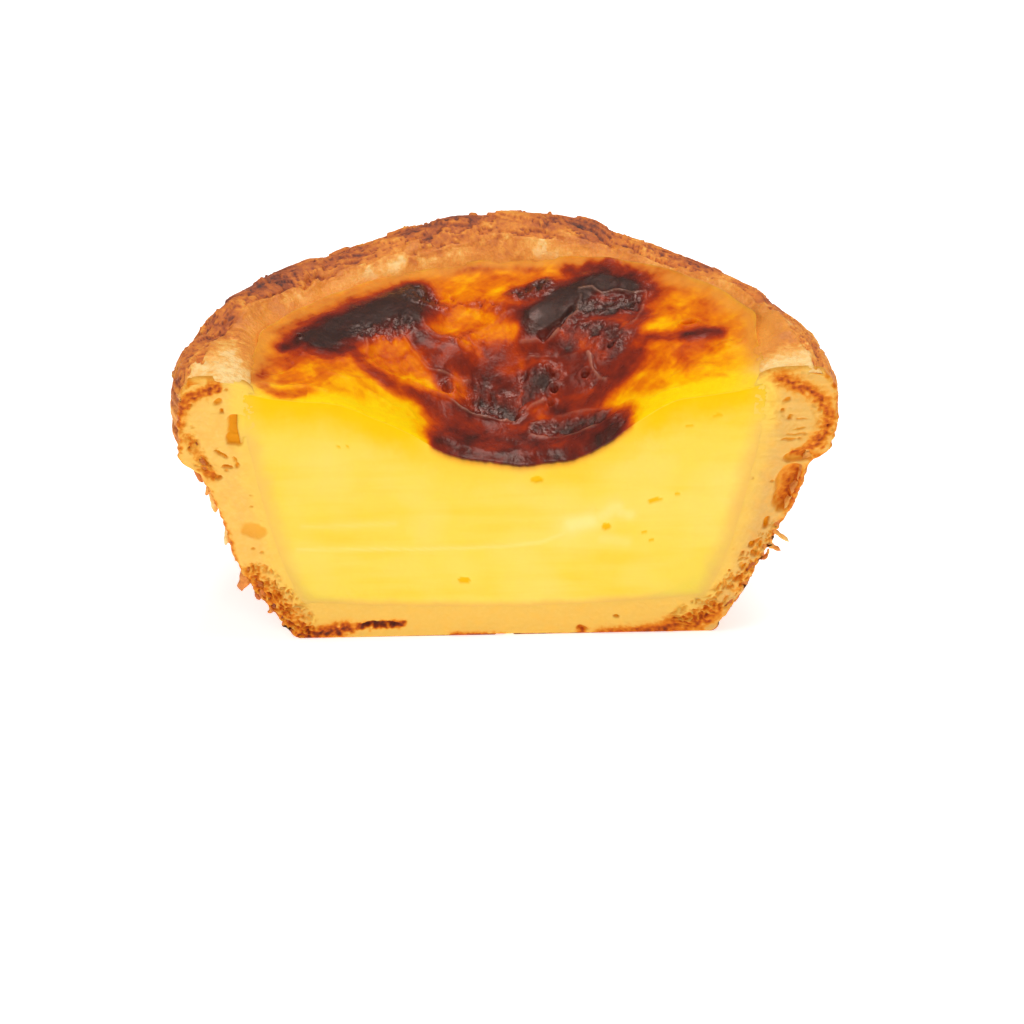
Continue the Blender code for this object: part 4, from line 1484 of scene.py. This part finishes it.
@dataclass
class PastryWall:
    """The baked wall and base, with the cup inside them."""

    form: TartForm
    end: CutEnd = field(default_factory=CutEnd)
    columns: int = 620
    inner_rows: int = 22
    wall_rows: int = 96
    edge_rows: int = 7
    base_rows: int = 14
    mean_radius: float = 30.0
    plate_rise: float = 0.26
    layer_count: float = 3.6

    def rows(self) -> tuple[Array, Array]:
        """Share along the section of every row, and 1 for outer rows and 0 for inner ones."""
        edge_start, base_start, near_axis = self.form.edge_start, self.form.base_start, 0.985
        inner = np.linspace(near_axis, 0.0, self.inner_rows)
        wall = np.linspace(0.0, edge_start, self.wall_rows)
        edge = np.linspace(edge_start, base_start, self.edge_rows)[1:]
        base = np.linspace(base_start, near_axis, self.base_rows)[1:]
        outer = np.concatenate([wall, edge, base])
        return np.concatenate([inner, outer]), np.repeat([0.0, 1.0], [len(inner), len(outer)])

    def surface(self) -> tuple[Array, Fields]:
        """Places and fields of the wall.

        The outside is pushed out by terraces of a noise stretched round the tart, as the
        edges of thin sheets, by level and slanting ripples, and pushed in by small pits.

        Returns:
            The grid of places, and its fields.
        """
        form = self.form
        share, outer = self.rows()
        share, angle = np.meshgrid(share, np.linspace(0.0, math.pi, self.columns), indexing="ij")
        outer = np.broadcast_to(outer[:, None], share.shape)
        inner_radius, inner_height = form.inner_line(share)
        outer_radius, outer_height = form.outer_line(share)
        height = np.where(outer > 0, outer_height, inner_height)
        radius = np.where(outer > 0, form.swollen(outer_radius, height, angle), inner_radius)
        smooth = polar(radius, angle, height, form.cut_y)
        run = angle * self.mean_radius
        drift = noise(spots(run / 9.0, height / 5.0, 1.0), 111)
        wall_places = spots(run / 8.5 + 0.4 * drift, height / 1.5 + 0.7 * drift + 0.05 * run, 2.0)
        base_places = spots(radius / 1.5 + 0.16 * run, angle * 2.0, 6.0)
        on_base = climb(share * outer, form.edge_start, form.base_start)
        sheets = mix(fractal(wall_places, 4, 112, 0.55), fractal(base_places, 3, 117), on_base)
        plate, brink = terraces(sheets, self.layer_count, 0.8, 0.66)
        ripples = noise(spots(run / 20.0, height / 0.55 + 0.6 * drift, 3.0), 113)
        lumps = fractal(smooth / 8.0, 2, 114)
        fine = fractal(smooth / 1.0, 3, 115)
        pits = pinholes(aside(run / 1.9, height / 1.5, radius / 3.0), 116, 0.05, 0.26, 0.75)
        push = 0.4 * lumps + self.plate_rise * self.layer_count * (plate - 0.5) + 0.1 * ripples + 0.08 * fine
        push -= 0.34 * pits
        push *= outer * mix(1.0, 0.25, on_base)
        push -= self.end.squeeze(smooth, form.cut_y) * 0.35 * outer * climb(height, 0.5, 6.0)
        normal = grid_normals(smooth)
        places = smooth + normal * push[..., None]
        standing = climb(share * outer, 0.655, form.base_start)
        places[..., 2] = np.where(standing > 0.99, np.abs(push) * 0.12, np.maximum(places[..., 2], 0.0))
        nearest = form.cut_y + self.end.setback + self.end.recess * (1.0 - outer)
        places[..., 1] = np.maximum(places[..., 1], nearest)
        broad = fractal(smooth / 6.0, 3, 118)
        patch = fractal(smooth / 2.2, 3, 119)
        low = fall(height, 1.0, 12.0)
        # brink darkens the foot of each layer's edge: partly burnt layer edges, partly painted shade in the
        # crease under the step
        bake = 0.4 + 0.24 * broad + 0.12 * patch - 0.3 * (plate - 0.5) + 0.2 * brink
        near_cut = climb(np.abs(np.cos(angle)), 0.99, 1.0)
        bake += 0.16 * low + 0.12 * on_base + 0.3 * pits - 0.12 * near_cut
        return places, {"bake": limit(bake), "roughness": np.clip(0.62 + 0.08 * fine, 0.3, 0.9)}

    def build(self, finish: PastryFinish) -> bpy.types.Object:
        """Close the wall at the axis and at both its ends."""
        maker = MeshMaker(PASTRY_FIELDS)
        places, fields = self.surface()
        index = maker.add_points(self.end.recessed(places), {n: self.end.widen(v) for n, v in fields.items()})
        axis = np.array([0.0, self.form.cut_y + self.end.setback + self.end.recess, 0.0])
        floor_middle = axis + np.array([0.0, 0.0, self.form.floor_thickness])
        poles = maker.add_points(np.stack([floor_middle, axis]), {"bake": 0.6, "roughness": 0.6})
        maker.add_grid(index)
        maker.add_fan(int(poles[0]), index[0])
        maker.add_fan(int(poles[1]), index[-1], turned=True)
        for column, turned in ((0, False), (-1, True)):
            inner = np.concatenate([index[:self.inner_rows - 1, column][::-1], poles[:1]])
            outer = np.concatenate([index[self.inner_rows:, column], poles[1:]])
            maker.close_end(index[self.inner_rows - 1, column], inner, outer, turned)
        return maker.build("pastry_wall", finish.make())


@dataclass
class PastryCrumb:
    """The cut through the pastry: a thin slab from one lip, under the custard, to the other."""

    form: TartForm
    columns: int = 1000
    rows: int = 52
    thickness: float = 1.6
    overlap: float = 0.9
    lip_share: float = 0.26
    slope_share: float = 0.16
    under_lip: float = math.radians(-42.0)
    pinch_left: float = 1.05
    pinch_right: float = 0.2
    proudest: float = 0.12
    deepest: float = 1.25
    pockets: tuple[Pocket, ...] = each(Pocket,
        (-28.5, 28.5, 1.1, 1.5, -4, 0.5, 3.4), (-28.9, 26.8, 0.9, 0.85, -6, 0.42, 3.4),
        (-30, 30.4, 0.3, 0.34, 0, 0.4), (-30.5, 31.7, 0.6, 0.34, 24, 0.3),
        (-30.3, 24.9, 0.85, 0.22, -38, 0.4), (-29.7, 23.2, 0.66, 0.3, -14, 0.5),
        (-28.8, 23.8, 0.2, 0.9, 12, 0.3), (-30.8, 21.9, 0.45, 0.36, 0, 0.6),
        (-33.3, 26.4, 0.6, 1.5, 24, 0.18), (-32.3, 23.9, 0.7, 1.3, 20, 0.2),
        (-31.7, 22.3, 0.6, 0.5, 10, 0.2), (-27.3, 14.9, 1.7, 1.1, -24, 0.1),
        (-13.8, 2, 2.3, 0.42, 0, 0.35, 2), (8.5, 0.8, 0.6, 0.36, 0, 0.35, 2),
        (12.4, 2.3, 0.38, 0.24, 0, 0.35, 2), (30.9, 19.2, 1.9, 3.4, -12, 1, 2.6),
        (31.5, 23.3, 1.6, 0.8, 14, 0.6, 2.4), (28.5, 14.6, 0.28, 0.85, -18, 0.55),
        (26.9, 11.8, 0.34, 0.5, -10, 0.5), (27.8, 11.9, 0.2, 0.5, -10, 0.4),
        (27.3, 10.5, 0.34, 0.32, 0, 0.5), (26.2, 8.8, 0.26, 0.55, -20, 0.45),
        (25.5, 7.2, 0.55, 0.36, 20, 0.45), (24.6, 8.4, 0.18, 0.25, 0, 0.3), (24.9, 6, 0.5, 0.24, 40, 0.4),
        (30.2, 30.6, 0.42, 0.26, 30, 0.3), (29.7, 29.3, 0.24, 0.26, 0, 0.3),
        (30.6, 28.4, 0.18, 0.45, 0, 0.3), (30.4, 25.6, 0.9, 0.22, 4, 0.2), (31.6, 27, 0.9, 0.14, 4, 0.14),
        (31.2, 26.3, 1.1, 0.14, 6, 0.14), (31.9, 28.1, 0.7, 0.13, 0, 0.14),
    )
    toasts: tuple[Stroke, ...] = each(Stroke,
        (((-30.5, 33.4), (-31.8, 33), (-33.3, 32.3), (-34.2, 31.2)), 0.7, 0.62, 2.6),
        (((-34.2, 31.2), (-34.6, 29.6), (-34.8, 28.4)), 0.7, 0.58, 2.6),
        (((-34, 27.2), (-33.2, 25.4), (-32.4, 23.4), (-31.4, 22)), 0.7, 0.44),
        (((-27.6, 8.6), (-26.4, 6.4), (-24, 3.4), (-22.6, 1.4)), 1.4, 0.6),
        (((-23, 0.7), (-20, 0.9), (-17.4, 1.5)), 0.9, 0.74),
        (((-16, 1.7), (-13.6, 1.9), (-11.4, 1.9)), 0.5, 0.82, 3.6), (((-5.6, 0.2), (-0.4, 0)), 0.45, 0.66),
        (((8.5, 0.6),), 0.6, 0.55), (((10.6, -0.2), (14.5, 0), (18, 0.6)), 1, 0.66),
        (((18.6, 1), (21.4, 1.6), (23.2, 3)), 1.3, 0.6),
        (((29.4, 33.4), (31.2, 32.6), (32.8, 31.6), (34.2, 30.2), (34.8, 28.6), (34.4, 26.4),
          (33.4, 25.2)), 0.95, 0.6, 2),
        (((34.2, 24.8), (32.8, 24.6), (31.2, 23.8)), 0.5, 0.56),
        (((33.6, 23), (33, 19.4), (31.4, 15.6), (29.6, 12.6)), 0.9, 0.6, 2.6),
        (((29.6, 12.6), (27.6, 9), (25.6, 6)), 0.9, 0.46, 2.6),
        (((30.6, 17.4), (31.6, 20.6)), 1.5, 0.46, 2.6), (((31.4, 23.6), (32.6, 23.8)), 0.8, 0.42, 2.6),
    )
    porous: tuple[Stroke, ...] = each(Stroke,
        (((-27, 8.4), (-25, 5.6), (-22.8, 2.2)), 2, 1, 5),
        (((29.6, 13.6), (27.8, 10.8), (26, 7.4), (23.4, 4.2), (20, 2.4)), 1.5, 0.9, 5),
        (((-34, 28.4), (-32.4, 23.6)), 1, 0.6, 5), (((33.4, 30), (34.6, 26.4)), 1.1, 0.5, 5),
        (((28.6, 30.6), (30.6, 27.4)), 1.6, 0.4, 5),
    )

    def outline(self) -> tuple[Array, Array, Array]:
        """Inner and outer edge of the cut, from the left crest round to the right one.

        Returns:
            Places (across, height) of both edges, and each column's share of the way from a
            crest to the axis.
        """
        form = self.form
        walk = np.linspace(-1.0, 1.0, self.columns)
        share = 0.012 + 0.988 * (1.0 - np.abs(walk))
        side = np.where(walk < 0, -1.0, 1.0)
        angle = np.where(side < 0, math.pi, 0.0)
        slope = limit(share / self.slope_share)
        lip_radius, lip_height = form.lip_line(mix(math.pi / 2.0, math.pi, slope), angle)
        cup = limit((share - self.slope_share) / (1.0 - self.slope_share))
        cup_radius, cup_height = form.inner_line(cup)
        join = climb(share, self.slope_share * 0.9, self.slope_share * 1.25)
        inner_radius = mix(lip_radius, cup_radius, join)
        inner_height = mix(form.waved(lip_height, angle), cup_height, join)
        over = limit(share / self.lip_share)
        rim_radius, rim_height = form.lip_line(mix(math.pi / 2.0, self.under_lip, over), angle)
        down = limit((share - self.lip_share) / (1.0 - self.lip_share))
        wall_radius, wall_height = form.outer_line(0.03 + 0.97 * down)
        under = climb(down, 0.0, 0.07)
        on_wall = share > self.lip_share
        outer_radius = np.where(on_wall, mix(rim_radius, wall_radius, under), rim_radius)
        outer_height = np.where(on_wall, wall_height, form.waved(rim_height, angle))
        outer_height = np.where(on_wall, np.minimum(outer_height, rim_height - 4.0 * down), outer_height)
        outer_radius = form.swollen(outer_radius, outer_height, angle)
        pinch = np.where(side < 0, self.pinch_left, self.pinch_right)
        squeeze = pinch * climb(outer_height, 23.0, 27.0) + 0.15 * climb(outer_height, 0.5, 4.0)
        outer_radius = outer_radius - squeeze * climb(share, 0.0, 0.1)
        outer_height = outer_height - 0.08 * fall(share, 0.0, 0.12)
        inner = aside(side * inner_radius, inner_height + 0.04)
        outer = aside(side * outer_radius, outer_height)
        return inner, outer, share

    def holes(self, across: Array, height: Array, way: Array, from_outer: Array,
              shift: tuple[Array, Array]) -> tuple[Array, Array, Array]:
        """Drawn pockets, the cells of the porous corners, and lone pores near both lips.

        Args:
            across: Places across the cut.
            height: Their heights.
            way: Length along the outer edge.
            from_outer: Distance from that edge.
            shift: A broad and a fine noise that push the places about.

        Returns:
            How amber and how deep each place is, and 1 on the cells' walls.
        """
        wander, ripple = shift
        x, z = across + 0.28 * wander + 0.1 * ripple, height - 0.28 * wander + 0.1 * ripple
        hollow, inset, walls = (np.zeros_like(across) for _ in range(3))
        for pocket in self.pockets:
            cover = pocket.cover(x, z)
            hollow = np.maximum(hollow, cover * min(1.0, 0.5 + 1.2 * pocket.depth))
            inset = np.maximum(inset, cover * pocket.depth)
        inset *= climb(from_outer, 0.5, 1.0)
        porous = climb(gather(self.porous, x, z), 0.2, 0.8)
        for size, depth, seed in ((0.85, 0.34, 21), (0.45, 0.2, 23)):
            drawn = spots(way / (size * 1.5) + 0.4 * wander, from_outer / (size * 0.8), 2.0)
            near, second, tag = cells(drawn, seed)
            open_cell = climb(second - near, 0.08, 0.3) * (tag > 0.36)
            inset += depth * open_cell * porous
            hollow = np.maximum(hollow, open_cell * porous * 0.6)
            walls += (1.0 - open_cell) * porous * 0.5
        lone = pinholes(spots(across / 1.3, height, 6.0), 24, 0.08, 0.24, 0.7)
        lone *= climb(np.abs(across), 24.0, 27.0)
        return np.maximum(hollow, lone * 0.7), inset + 0.25 * lone, walls

    def surface(self) -> tuple[Array, Fields, Array]:
        """Places and fields of the cut, and its plain back.

        Every column is a straight line from the inner to the outer edge. Pockets and
        pores are pushed in, the outer rows round off backwards with a ragged edge, and
        the inner rows dip behind the custard.

        Returns:
            The grid of places, its fields, and the two rows of the back.
        """
        inner, outer, share = self.outline()
        way = walked(outer)
        down = np.linspace(0.0, 1.0, self.rows)[:, None]
        span = outer - inner
        direction = span / np.linalg.norm(span, axis=-1)[:, None]
        rag = 0.3 * fractal(spots(way / 1.1, way * 0.0, 1.0), 4, 101, 0.6)
        rag += 0.5 * np.abs(noise(spots(way / 2.6, way * 0.0, 4.0), 102)) - 0.1
        rag = (rag + 0.12) * climb(outer[:, 1], 0.3, 2.0) * climb(share, 0.02, 0.1)
        tucked = self.overlap * climb(share, 0.02, 0.14)
        start = inner - direction * tucked[:, None]
        end = outer + direction * rag[:, None]
        spot = mix(start, end, down[..., None])
        across, height = spot[..., 0], spot[..., 1]
        length = np.linalg.norm(end - start, axis=-1)
        from_inner = down * length - tucked
        from_outer = (1.0 - down) * length
        wander = noise(spots(across / 1.6, height / 1.6, 5.0), 103)
        ripple = noise(spots(across / 0.6, height / 0.6, 5.0), 107)
        fine = fractal(spots(across / 0.5, height / 0.5, 6.0), 3, 104)
        hollow, inset, walls = self.holes(across, height, way, from_outer, (wander, ripple))
        toast = gather(self.toasts, across + 0.3 * wander, height + 0.3 * ripple)
        level = noise(spots(across / 5.0, height / 0.4 + 0.3 * wander, 3.0), 105)
        bent = noise(spots(way / 4.0, from_outer / 0.5 + 0.3 * wander, 3.0), 106)
        layers = mix(bent, level, np.maximum(climb(height, 21.0, 24.0), height < 4.0))
        grain = 0.03 * layers * climb(across, -26.0, 27.0) + 0.05 * fine
        inset += grain * climb(from_inner, -0.2, 0.6)
        inset += 0.15 * toast * (fine + 0.5 * ripple)
        inset += 0.35 * np.maximum(-from_inner, 0.0)
        inset += np.minimum(1.1 * np.maximum(0.45 - from_outer, 0.0) ** 2 / 0.45, 0.6)
        brown_edge = fall(from_outer + 0.3 * wander, 0.1, 0.9) * 0.4
        toast = np.maximum(toast, brown_edge * climb(height, 0.3, 1.2))
        toast = toast * (1.0 + 0.6 * fine + 0.35 * ripple - 0.3 * np.minimum(walls, 1.0) + 0.2 * hollow)
        beyond = np.abs(across) - self.form.cup_radius(height) + 0.4 * wander + 0.15 * layers
        soft = fall(beyond, 0.4, 2.4)
        depth = self.form.cut_y + np.clip(inset, -self.proudest, self.deepest)
        places = aside(across, depth, np.maximum(height, 0.0))
        shares = np.array([0.97, 0.03])[:, None, None]
        line = mix(start, end, shares)
        behind = np.full(line.shape[:-1], self.form.cut_y + self.thickness)
        back = aside(line[..., 0], behind, np.maximum(line[..., 1], 0.02))
        fields = {
            "toast": limit(toast),
            "hollow": hollow,
            "crumb": limit(crumb_tan(across, height) + 0.15 * wander + 0.14 * layers),
            "near_custard": soft * mix(0.55, 1.0, climb(height, 26.0, 30.0)),
        }
        return places, fields, back

    def build(self, finish: CrumbFinish) -> bpy.types.Object:
        """Close the cut with its back and a cap at each crest."""
        maker = MeshMaker(("toast", "hollow", "crumb", "near_custard"))
        places, fields, back = self.surface()
        front_index = maker.add_points(places, fields)
        back_index = maker.add_points(back, {"toast": 0.3})
        ring = np.concatenate([front_index, back_index, front_index[:1]])
        maker.add_grid(ring)
        for column, turned in ((0, True), (-1, False)):
            maker.add_fan(int(ring[0, column]), ring[1:-1, column], turned=turned)
        return maker.build("pastry_cut", finish.make())


@dataclass(frozen=True)
class Flake:
    """A curled shard: middle, half length and half width, which way it points, and colour."""

    middle: tuple[float, float, float]
    half_length: float
    half_width: float
    turn: float
    tilt: float
    bake: float
    curl: float = 0.25
    thickness: float = 0.16


@dataclass
class LooseFlakes:
    """Shards that hang off the outside near the cut."""

    form: TartForm
    flakes: tuple[Flake, ...] = each(Flake,
        ((-28.3, 0.5, 8.4), 2.2, 0.7, 80, 12, 0.36, 0.4, 0.5),
        ((-31.2, 0.6, 18.6), 1.7, 0.6, 96, 24, 0.1, 0.3, 0.2),
        ((-30, 0.5, 14), 1.5, 0.4, 84, 18, 0.05, 0.3, 0.15),
        ((-32.8, 0.9, 21.6), 1.1, 0.4, 110, 16, 0.4, 0.3, 0.2),
        ((-31.9, 0.7, 19.8), 0.9, 0.3, 80, 20, 0.25, 0.3, 0.2),
        ((-29.4, 0.6, 12.2), 0.8, 0.3, 100, 30, 0.15, 0.3, 0.15),
        ((-25.6, 0.7, 3.6), 0.7, 0.35, 70, 20, 0.5, 0.3, 0.3),
        ((-27, 0.8, 5.4), 0.6, 0.35, 110, 20, 0.55, 0.3, 0.3),
        ((30.2, 0.4, 12.6), 1.2, 0.26, 140, 10, 0.12, 0.1, 0.2),
        ((29.4, 0.6, 11), 1, 0.28, 150, 10, 0.3, 0.1, 0.2),
        ((28.9, 0.7, 10.2), 0.4, 0.14, 80, 10, 0.3, 0.1, 0.2),
        ((33.9, 0.5, 24.8), 0.9, 0.4, 20, 10, 0.35, 0.2, 0.3),
        ((31.1, 0.8, 16.2), 1.1, 0.35, 66, 14, 0.55, 0.3, 0.25),
        ((32.1, 0.8, 19.6), 1.2, 0.4, 80, 14, 0.62, 0.3, 0.25),
        ((28.6, 0.6, 9.6), 0.6, 0.25, 50, 14, 0.4, 0.2, 0.25),
        ((25.4, 0.7, 4), 0.8, 0.35, 40, 14, 0.5, 0.2, 0.3),
    )
    along: int = 22
    over: int = 9

    def shard(self, flake: Flake, seed: int) -> Array:
        """Places of one shard: two curved sheets, pinched together along a ragged border.

        Args:
            flake: The shard.
            seed: Picks its outline.

        Returns:
            A closed ring of rows: out over the front and back over the rear.
        """
        u = np.linspace(-1.0, 1.0, self.along)[None, :]
        front = np.linspace(-1.0, 1.0, self.over)
        v = np.concatenate([front, front[::-1][1:-1]])[:, None]
        face = np.repeat([-1.0, 1.0], [self.over, self.over - 2])[:, None]
        ragged = 1.0 + 0.35 * noise(spots(u * 2.3 + seed, v * 0.0, 1.0), 121)
        width = flake.half_width * np.sqrt(np.maximum(1.0 - np.abs(u) ** 3, 0.04)) * ragged
        thick = flake.thickness / 2.0 * np.sqrt(np.maximum(1.0 - v**4, 0.0)) * np.maximum(1.0 - u**4, 0.15)
        x = u * flake.half_length * (1.0 + 0.12 * v)
        z = v * width
        bend = flake.curl * (u**2 + 0.6 * v**2) + 0.1 * noise(spots(u * 2.0, v * 1.5, float(seed)), 122)
        y = bend + face * thick
        x, y, z = np.broadcast_arrays(x, y, z)
        tilt, turn = math.radians(flake.tilt), math.radians(flake.turn)
        y, z = y * math.cos(tilt) - z * math.sin(tilt), y * math.sin(tilt) + z * math.cos(tilt)
        x, z = x * math.cos(turn) - z * math.sin(turn), x * math.sin(turn) + z * math.cos(turn)
        middle = np.array(flake.middle) + np.array([0.0, self.form.cut_y, 0.0])
        return aside(x, y, z) + middle

    def build(self, finish: PastryFinish) -> bpy.types.Object:
        """Join all the shards, each closed at its two tips."""
        maker = MeshMaker(PASTRY_FIELDS)
        for seed, flake in enumerate(self.flakes):
            places = self.shard(flake, seed)
            tone = flake.bake + 0.12 * noise(places / 0.8, 123)
            index = maker.add_points(places, {"bake": tone, "roughness": 0.6})
            maker.add_grid(np.concatenate([index, index[:1]]), turned=True)
            for column, turned in ((0, False), (-1, True)):
                maker.add_fan(int(index[0, column]), index[1:, column], turned=turned)
        return maker.build("loose_flakes", finish.make())


# The studio


@dataclass(frozen=True)
class SoftBox:
    """A square area light: where it stands, how wide it is and how strong."""

    name: str
    place: tuple[float, float, float]
    width: float
    power: float


@dataclass
class Studio:
    """Plain white ground, soft light and the camera."""

    form: TartForm
    elevation: float = math.radians(35.0)
    swing: float = math.radians(1.8)
    distance: float = 450.0
    aim: tuple[float, float] = (0.8, 16.7)
    lens: float = 146.0
    sky: float = 0.2
    ground_radius: float = 1500.0
    ground_drop: float = 0.02
    boxes: tuple[SoftBox, ...] = (
        SoftBox("window_light", (0.08, 0.09, 0.48), 0.26, 1.55),
        SoftBox("side_light", (-0.38, -0.12, 0.30), 0.30, 0.75),
        SoftBox("front_light", (0.20, -0.45, 0.25), 0.30, 0.75),
    )

    def place_camera(self) -> None:
        """Look at the cut from the front and above."""
        data = bpy.data.cameras.new("camera")
        data.lens = self.lens
        data.clip_start = 0.01
        camera = bpy.data.objects.new("camera", data)
        flat = self.distance * math.cos(self.elevation)
        aim_x, aim_z = self.aim
        camera.location = (
            (aim_x - flat * math.sin(self.swing)) * MM,
            (self.form.cut_y - flat * math.cos(self.swing)) * MM,
            (aim_z + self.distance * math.sin(self.elevation)) * MM,
        )
        camera.rotation_euler = (math.pi / 2.0 - self.elevation, 0.0, -self.swing)
        bpy.context.scene.collection.objects.link(camera)
        bpy.context.scene.camera = camera

    def place_lights(self) -> None:
        """Hang the soft boxes and light the sky evenly."""
        for box in self.boxes:
            data = bpy.data.lights.new(box.name, "AREA")
            data.size = box.width
            data.energy = box.power
            light = bpy.data.objects.new(box.name, data)
            light.location = box.place
            aim = -np.array(box.place) + np.array([0.0, 0.0, 0.015])
            flat = math.hypot(aim[0], aim[1])
            light.rotation_euler = (math.atan2(flat, -aim[2]), 0.0, math.atan2(-aim[0], aim[1]))
            bpy.context.scene.collection.objects.link(light)
        world = bpy.data.worlds.new("white_room")
        world.use_nodes = True
        background = world.node_tree.nodes["Background"].inputs
        background["Color"].default_value = (1.0, 1.0, 1.0, 1.0)
        background["Strength"].default_value = self.sky
        bpy.context.scene.world = world

    def lay_ground(self, finish: FloorFinish) -> None:
        """Lay a wide plain disc under the tart."""
        angle = np.linspace(0.0, 2.0 * math.pi, 97)
        maker = MeshMaker(())
        ring = polar(self.ground_radius, angle, np.full_like(angle, -self.ground_drop), 0.0)
        hub = maker.add_points(np.array([[0.0, 0.0, -self.ground_drop]]), {})
        index = maker.add_points(ring[:-1], {})
        maker.add_fan(int(hub[0]), np.append(index, index[0]))
        maker.build("ground", finish.make())

    def set_display(self) -> None:
        """Show colours as they are lit."""
        view = bpy.context.scene.view_settings
        view.view_transform = "Standard"
        view.look = "None"


# Putting it together


def tart_form() -> TartForm:
    """Read the cut's plane and the rim's radius from the frame."""
    low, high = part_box("pastry_shell")
    return TartForm(cut_y=low[1] / MM, rim_radius=(high[0] - low[0]) / 2.0 / MM)


class Solid(Enum):
    """The frame's solids, each with the slot of its material."""

    SHELL = ("pastry_shell", "baked_pastry")
    FILLING = ("custard", "egg_custard")


def hand_over(piece: bpy.types.Object, solid: Solid) -> None:
    """Let a piece ride on the tart and hide the solid that it stands in for."""
    node, slot = solid.value
    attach(piece, BODY)
    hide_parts(node)
    log.info("%s: %d points, %d faces", piece.name, len(piece.data.vertices), len(piece.data.polygons))


def main() -> None:
    """Build the tart and its studio."""
    logging.basicConfig(level=logging.INFO)
    form = tart_form()
    studio = Studio(form)
    studio.place_camera()
    studio.place_lights()
    studio.set_display()
    studio.lay_ground(FloorFinish())
    hand_over(Custard(form).build(CustardFinish()), Solid.FILLING)
    hand_over(PastryLip(form).build(PastryFinish()), Solid.SHELL)
    hand_over(PastryWall(form).build(PastryFinish()), Solid.SHELL)
    hand_over(PastryCrumb(form).build(CrumbFinish()), Solid.SHELL)
    hand_over(LooseFlakes(form).build(PastryFinish()), Solid.SHELL)


if __name__ == "__main__":
    main()
